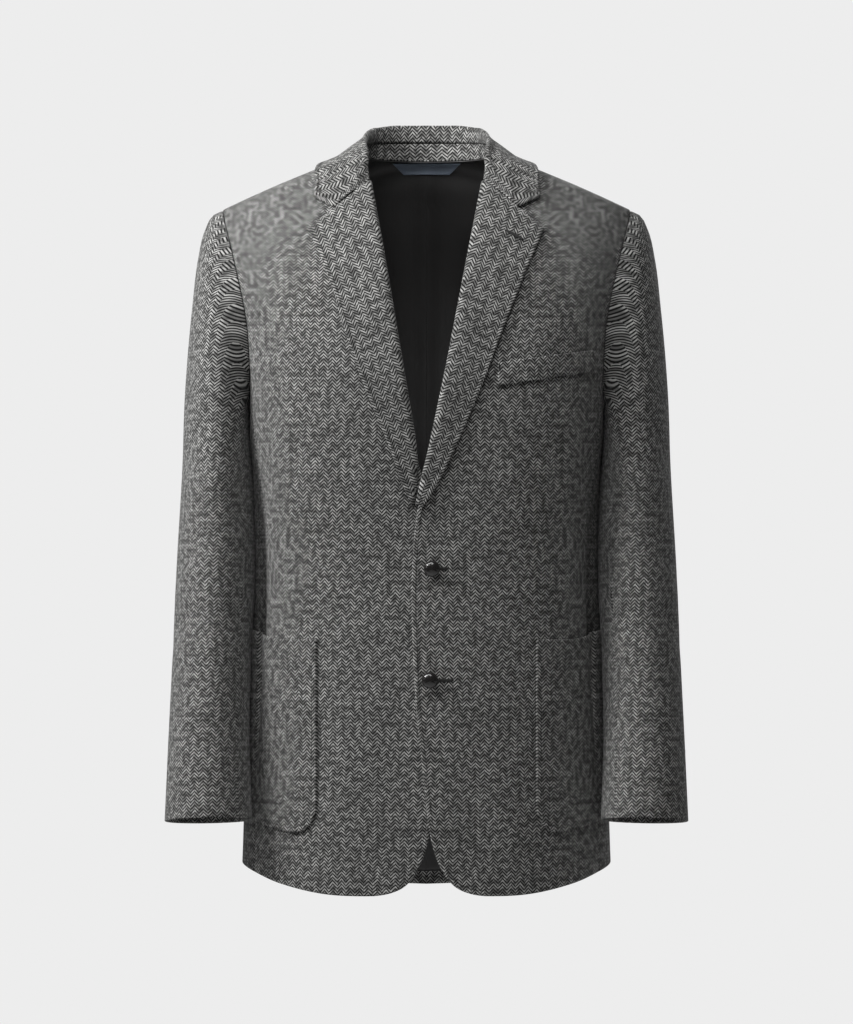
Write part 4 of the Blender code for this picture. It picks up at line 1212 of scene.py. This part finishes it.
LABEL_TOP = 0.0375
LABEL_BOTTOM = 0.0250
LABEL_HIGH = 0.0235
LABEL_LOW = 0.0108
LABEL_LIFT = 0.0006
high = bordered(BORDER[:3], 0.0135, 0.15, 0.85, 6)
wide = LABEL_BOTTOM + (LABEL_TOP - LABEL_BOTTOM) * high
share = np.array([*np.linspace(0, 0.95, 20), 0.975, 0.99, 1])
x = wide[:, None] * share
z = np.broadcast_to((LABEL_LOW + (LABEL_HIGH - LABEL_LOW) * high)[:, None], x.shape)
column, row = lined.seek(np.stack([x, x * 0, z], axis=-1), (1, 0, 1))
points = lined.on(column, row, -SATIN - LABEL_LIFT)[0]
points[:, 0, 0] = 0
points = np.concatenate([points[:, :0:-1] * (-1, 1, 1), points], axis=1)
x = np.concatenate([-x[:, :0:-1], x], axis=1)
panel = Panel(points, np.stack([x, np.concatenate([z[:, :0:-1], z], axis=1)], axis=2))
outline = outline_of(points)
cut_piece("label", "neck_label", panel, [outline], [], finishes=[painted_light_label_ribbon],
          wall=SATIN, base=1e-5, stitched=[])

TAB_HIGH = 0.020
TAB_WIDE = 0.010
TAB_X = 0.280
TAB_Y = -0.052
TAB_Z = -0.616
ends = np.array([0, 0.04, 0.1, 0.3, 0.5, 0.7, 0.9, 0.96, 1])
y = TAB_Y + TAB_WIDE * (ends - 0.5)
z = TAB_Z + TAB_HIGH * (ends - 0.5)
target = np.stack(np.broadcast_arrays(TAB_X, y[None, :], z[:, None]), axis=-1)
points, _, _ = top_sleeve.on(*top_sleeve.seek(target), LIE)
panel = Panel(points, np.stack(np.broadcast_arrays(y[None, :], z[:, None]), axis=-1))
outline = outline_of(points)
cut_piece("tab", "sleeve_tab", panel, [outline], [], finishes=[navy], wall=SATIN,
          base=1e-5, stitched=[])

# ---------------------------------------------------------------------------------------------------------
# The two buttons: domed heads covered in black leather, plaited over and under, each on a short shank.

hide = Finish("hide", Specular_IOR_Level=0.6, Coat_Roughness=0.18)
place = hide.node("ShaderNodeTexCoord", {}, {}, 3)
grain = hide.noise(place, 1500.0, 3.0, 0.6)
mottle = hide.noise(place, 260.0, 2.0)
hide.put(hide.shader.inputs, {
    "Base Color": hide.mix(mottle, (0.004, 0.0036, 0.0036, 1), (0.012, 0.010, 0.009, 1)),
    "Roughness": 0.16 + grain * 0.12, "Coat Weight": 0.5 + mottle * 0.3})
hide.relief(grain, 0.00008)
leather = hide.material

BUTTON_RADIUS = 0.0086
BUTTON_HEIGHT = 0.0085
BUTTON_RIM = 0.0030
SHANK_RADIUS = 0.0028
SHANK_HEIGHT = 0.0018
BUTTONS = {"button_upper": (0.0057, -0.4150), "button_lower": (0.0036, -0.5310)}


def placed(piece, centre, turn=(0, 0, 0)):
    """The piece turned and moved, and that applied, so that it stands at the origin as the frame does."""
    piece.rotation_euler = turn
    piece.location = centre
    bpy.ops.object.select_all(action="DESELECT")
    piece.select_set(True)
    bpy.context.view_layer.objects.active = piece
    bpy.ops.object.transform_apply(location=True, rotation=True, scale=True)
    return piece


def joined(pieces, name):
    bpy.ops.object.select_all(action="DESELECT")
    for piece in pieces:
        piece.select_set(True)
    bpy.context.view_layer.objects.active = pieces[0]
    bpy.ops.object.join()
    pieces[0].name = name
    return pieces[0]


for name, (x, z) in BUTTONS.items():
    bpy.ops.object.select_all(action="DESELECT")
    bpy.ops.mesh.primitive_uv_sphere_add(segments=56, ring_count=40, radius=BUTTON_RADIUS)
    head = bpy.context.object
    rim = SHANK_HEIGHT + BUTTON_RIM
    co = np.empty(len(head.data.vertices) * 3, np.float32)
    head.data.vertices.foreach_get("co", co)
    co = co.reshape(-1, 3)
    # Plaited bands: ridges along two diagonals, in turn over and under.
    p, q = co[:, 0] / 0.0052, co[:, 1] / 0.0052
    over = np.sign(np.cos(math.pi * p) * np.cos(math.pi * q) + 1e-9)
    groove = np.where(over > 0, np.abs(np.sin(math.pi * p)), np.abs(np.sin(math.pi * q)))
    top_part = np.clip(co[:, 2] / BUTTON_RADIUS, 0, 1)
    co *= (1 - 0.035 * groove * smooth(top_part * 2))[:, None]
    co[:, 2] *= np.where(co[:, 2] > 0, (BUTTON_HEIGHT - BUTTON_RIM) / BUTTON_RADIUS, 0.30)
    co[:, 2] += rim
    head.data.vertices.foreach_set("co", co.reshape(-1))
    bpy.ops.mesh.primitive_cylinder_add(vertices=24, radius=SHANK_RADIUS, depth=rim, location=(0, 0, rim / 2))
    shank = bpy.context.object
    button = joined([head, shank], name.replace("button_", "") + "_button")
    button.data.materials.clear()
    button.data.materials.append(leather)
    button.data.shade_smooth()
    seat = fronts["left"].facing(x, z, LIE)[0]
    placed(button, seat.tolist(), (math.radians(90), math.radians(38), 0))
    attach(button, "root")
    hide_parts(name)

# ---------------------------------------------------------------------------------------------------------
# Worked buttonholes in dark twist: two on the left front, which run out past the buttons, and one on the
# left lapel. Two short bar tacks hold the ends of the welt.

twist = Finish("twist", Base_Color=(0.020, 0.0195, 0.019, 1), Roughness=0.8)
place = twist.node("ShaderNodeTexCoord", {}, {}, 3)
cords = twist.node("ShaderNodeTexWave", {}, {"Vector": place, "Scale": 520.0, "Distortion": 0.6})
twist.relief(cords, 0.0003)
thread = twist.material

Hole = namedtuple("Hole", "name x_0 z_0 x_1 z_1 lift width")
HOLES = [
    Hole("upper_buttonhole", -0.0010, -0.4150, 0.0232, -0.4150, 0.0003, 0.0016),
    Hole("lower_buttonhole", -0.0030, -0.5310, 0.0285, -0.5312, 0.0003, 0.0016),
    Hole("lapel_buttonhole", 0.0815, -0.0635, 0.1010, -0.0740, 0.0064, 0.0015),
    Hole("inner_tack", 0.0752, -0.2020, 0.0752, -0.2080, 0.0030, 0.0007),
    Hole("outer_tack", 0.1722, -0.1880, 0.1722, -0.1940, 0.0030, 0.0007),
]
for hole in HOLES:
    spots = np.linspace((hole.x_0, hole.z_0), (hole.x_1, hole.z_1), 15)
    centre, normal, _ = fronts["left"].facing(spots[:, 0], spots[:, 1], hole.lift)
    run = centre[-1] - centre[0]
    aside = np.cross(run / np.linalg.norm(run), normal)
    turns = np.linspace(0, math.tau, 12, endpoint=False)
    taper = np.sqrt(np.maximum(1 - np.linspace(-1, 1, 15) ** 8, 0.02))
    # A flat oval in section, with a trough down the middle for the slit.
    trough = 0.8 * (np.abs(np.cos(turns)) < 0.3) * (np.sin(turns) > 0)
    ring = np.stack([np.cos(turns), np.sin(turns) - trough], 1)
    grid = [c + t * hole.width * (ring[:, :1] * a + ring[:, 1:] * 0.4 * n)
            for c, n, a, t in zip(centre, normal, aside, taper)]
    points = np.concatenate(grid)
    faces = []
    for i in range(len(grid) - 1):
        for j in range(12):
            k = (j + 1) % 12
            faces.append((i * 12 + j, i * 12 + k, i * 12 + 12 + k, i * 12 + 12 + j))
    faces += [tuple(range(12))[::-1], tuple(range(len(points) - 12, len(points)))]
    mesh = bpy.data.meshes.new(hole.name)
    mesh.from_pydata(points.tolist(), [], faces)
    mesh.materials.append(thread)
    piece = bpy.data.objects.new(hole.name, mesh)
    bpy.context.scene.collection.objects.link(piece)
    mesh.shade_smooth()
    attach(piece, "root")

# ---------------------------------------------------------------------------------------------------------
# The room: a plain pale floor and backdrop light, a large soft light high on the viewer's left, and the
# camera level with the waist, five metres off.

FLOOR_Z = -1.5
bpy.ops.object.select_all(action="DESELECT")
bpy.ops.mesh.primitive_plane_add(size=8, location=(0, 0, FLOOR_Z))
floor = bpy.context.object
floor.name = "floor"
paint = Finish("paint", Base_Color=(0.80, 0.80, 0.80, 1), Roughness=0.9)
floor.data.materials.append(paint.material)

world = bpy.data.worlds.new("room")
bpy.context.scene.world = world
world.use_nodes = True
nodes = world.node_tree.nodes
links = world.node_tree.links
nodes.clear()
seen = nodes.new("ShaderNodeBackground")
seen.inputs["Color"].default_value = (0.847, 0.847, 0.847, 1)
ambient = nodes.new("ShaderNodeBackground")
ambient.inputs["Color"].default_value = (1, 1, 1, 1)
ambient.inputs["Strength"].default_value = 0.09
rays = nodes.new("ShaderNodeLightPath")
choice = nodes.new("ShaderNodeMixShader")
output = nodes.new("ShaderNodeOutputWorld")
links.new(rays.outputs["Is Camera Ray"], choice.inputs[0])
links.new(ambient.outputs[0], choice.inputs[1])
links.new(seen.outputs[0], choice.inputs[2])
links.new(choice.outputs[0], output.inputs[0])

Lamp = namedtuple("Lamp", "name place aim size watts")
LAMPS = [
    Lamp("key", (-1.4, -0.66, 0.85), (0, 0, -0.25), 0.9, 40),
    Lamp("top", (-0.2, -1.2, 1.5), (0, 0, -0.1), 1.0, 18),
    Lamp("back", (1.4, 3.2, 0.8), (0, 0, -0.3), 2.0, 30),
]
for lamp in LAMPS:
    light = bpy.data.lights.new(lamp.name, "AREA")
    light.shape = "DISK"
    light.size = lamp.size
    light.energy = lamp.watts
    stand_in = bpy.data.objects.new(lamp.name, light)
    bpy.context.scene.collection.objects.link(stand_in)
    stand_in.location = lamp.place
    aim = np.array(lamp.aim) - lamp.place
    flat_run = math.hypot(aim[0], aim[1])
    stand_in.rotation_euler = (math.pi / 2 + math.atan2(aim[2], flat_run), 0, math.atan2(-aim[0], aim[1]))

CAMERA_BACK = 5.13
CAMERA_LEVEL = -0.356
camera = bpy.data.objects.new("camera", bpy.data.cameras.new("camera"))
bpy.context.scene.collection.objects.link(camera)
camera.location = (0, -CAMERA_BACK, CAMERA_LEVEL)
camera.rotation_euler = (math.pi / 2, 0, 0)
camera.data.sensor_fit = "VERTICAL"
camera.data.sensor_height = 36
camera.data.lens = 169
bpy.context.scene.camera = camera
bpy.context.scene.view_settings.view_transform = "Standard"
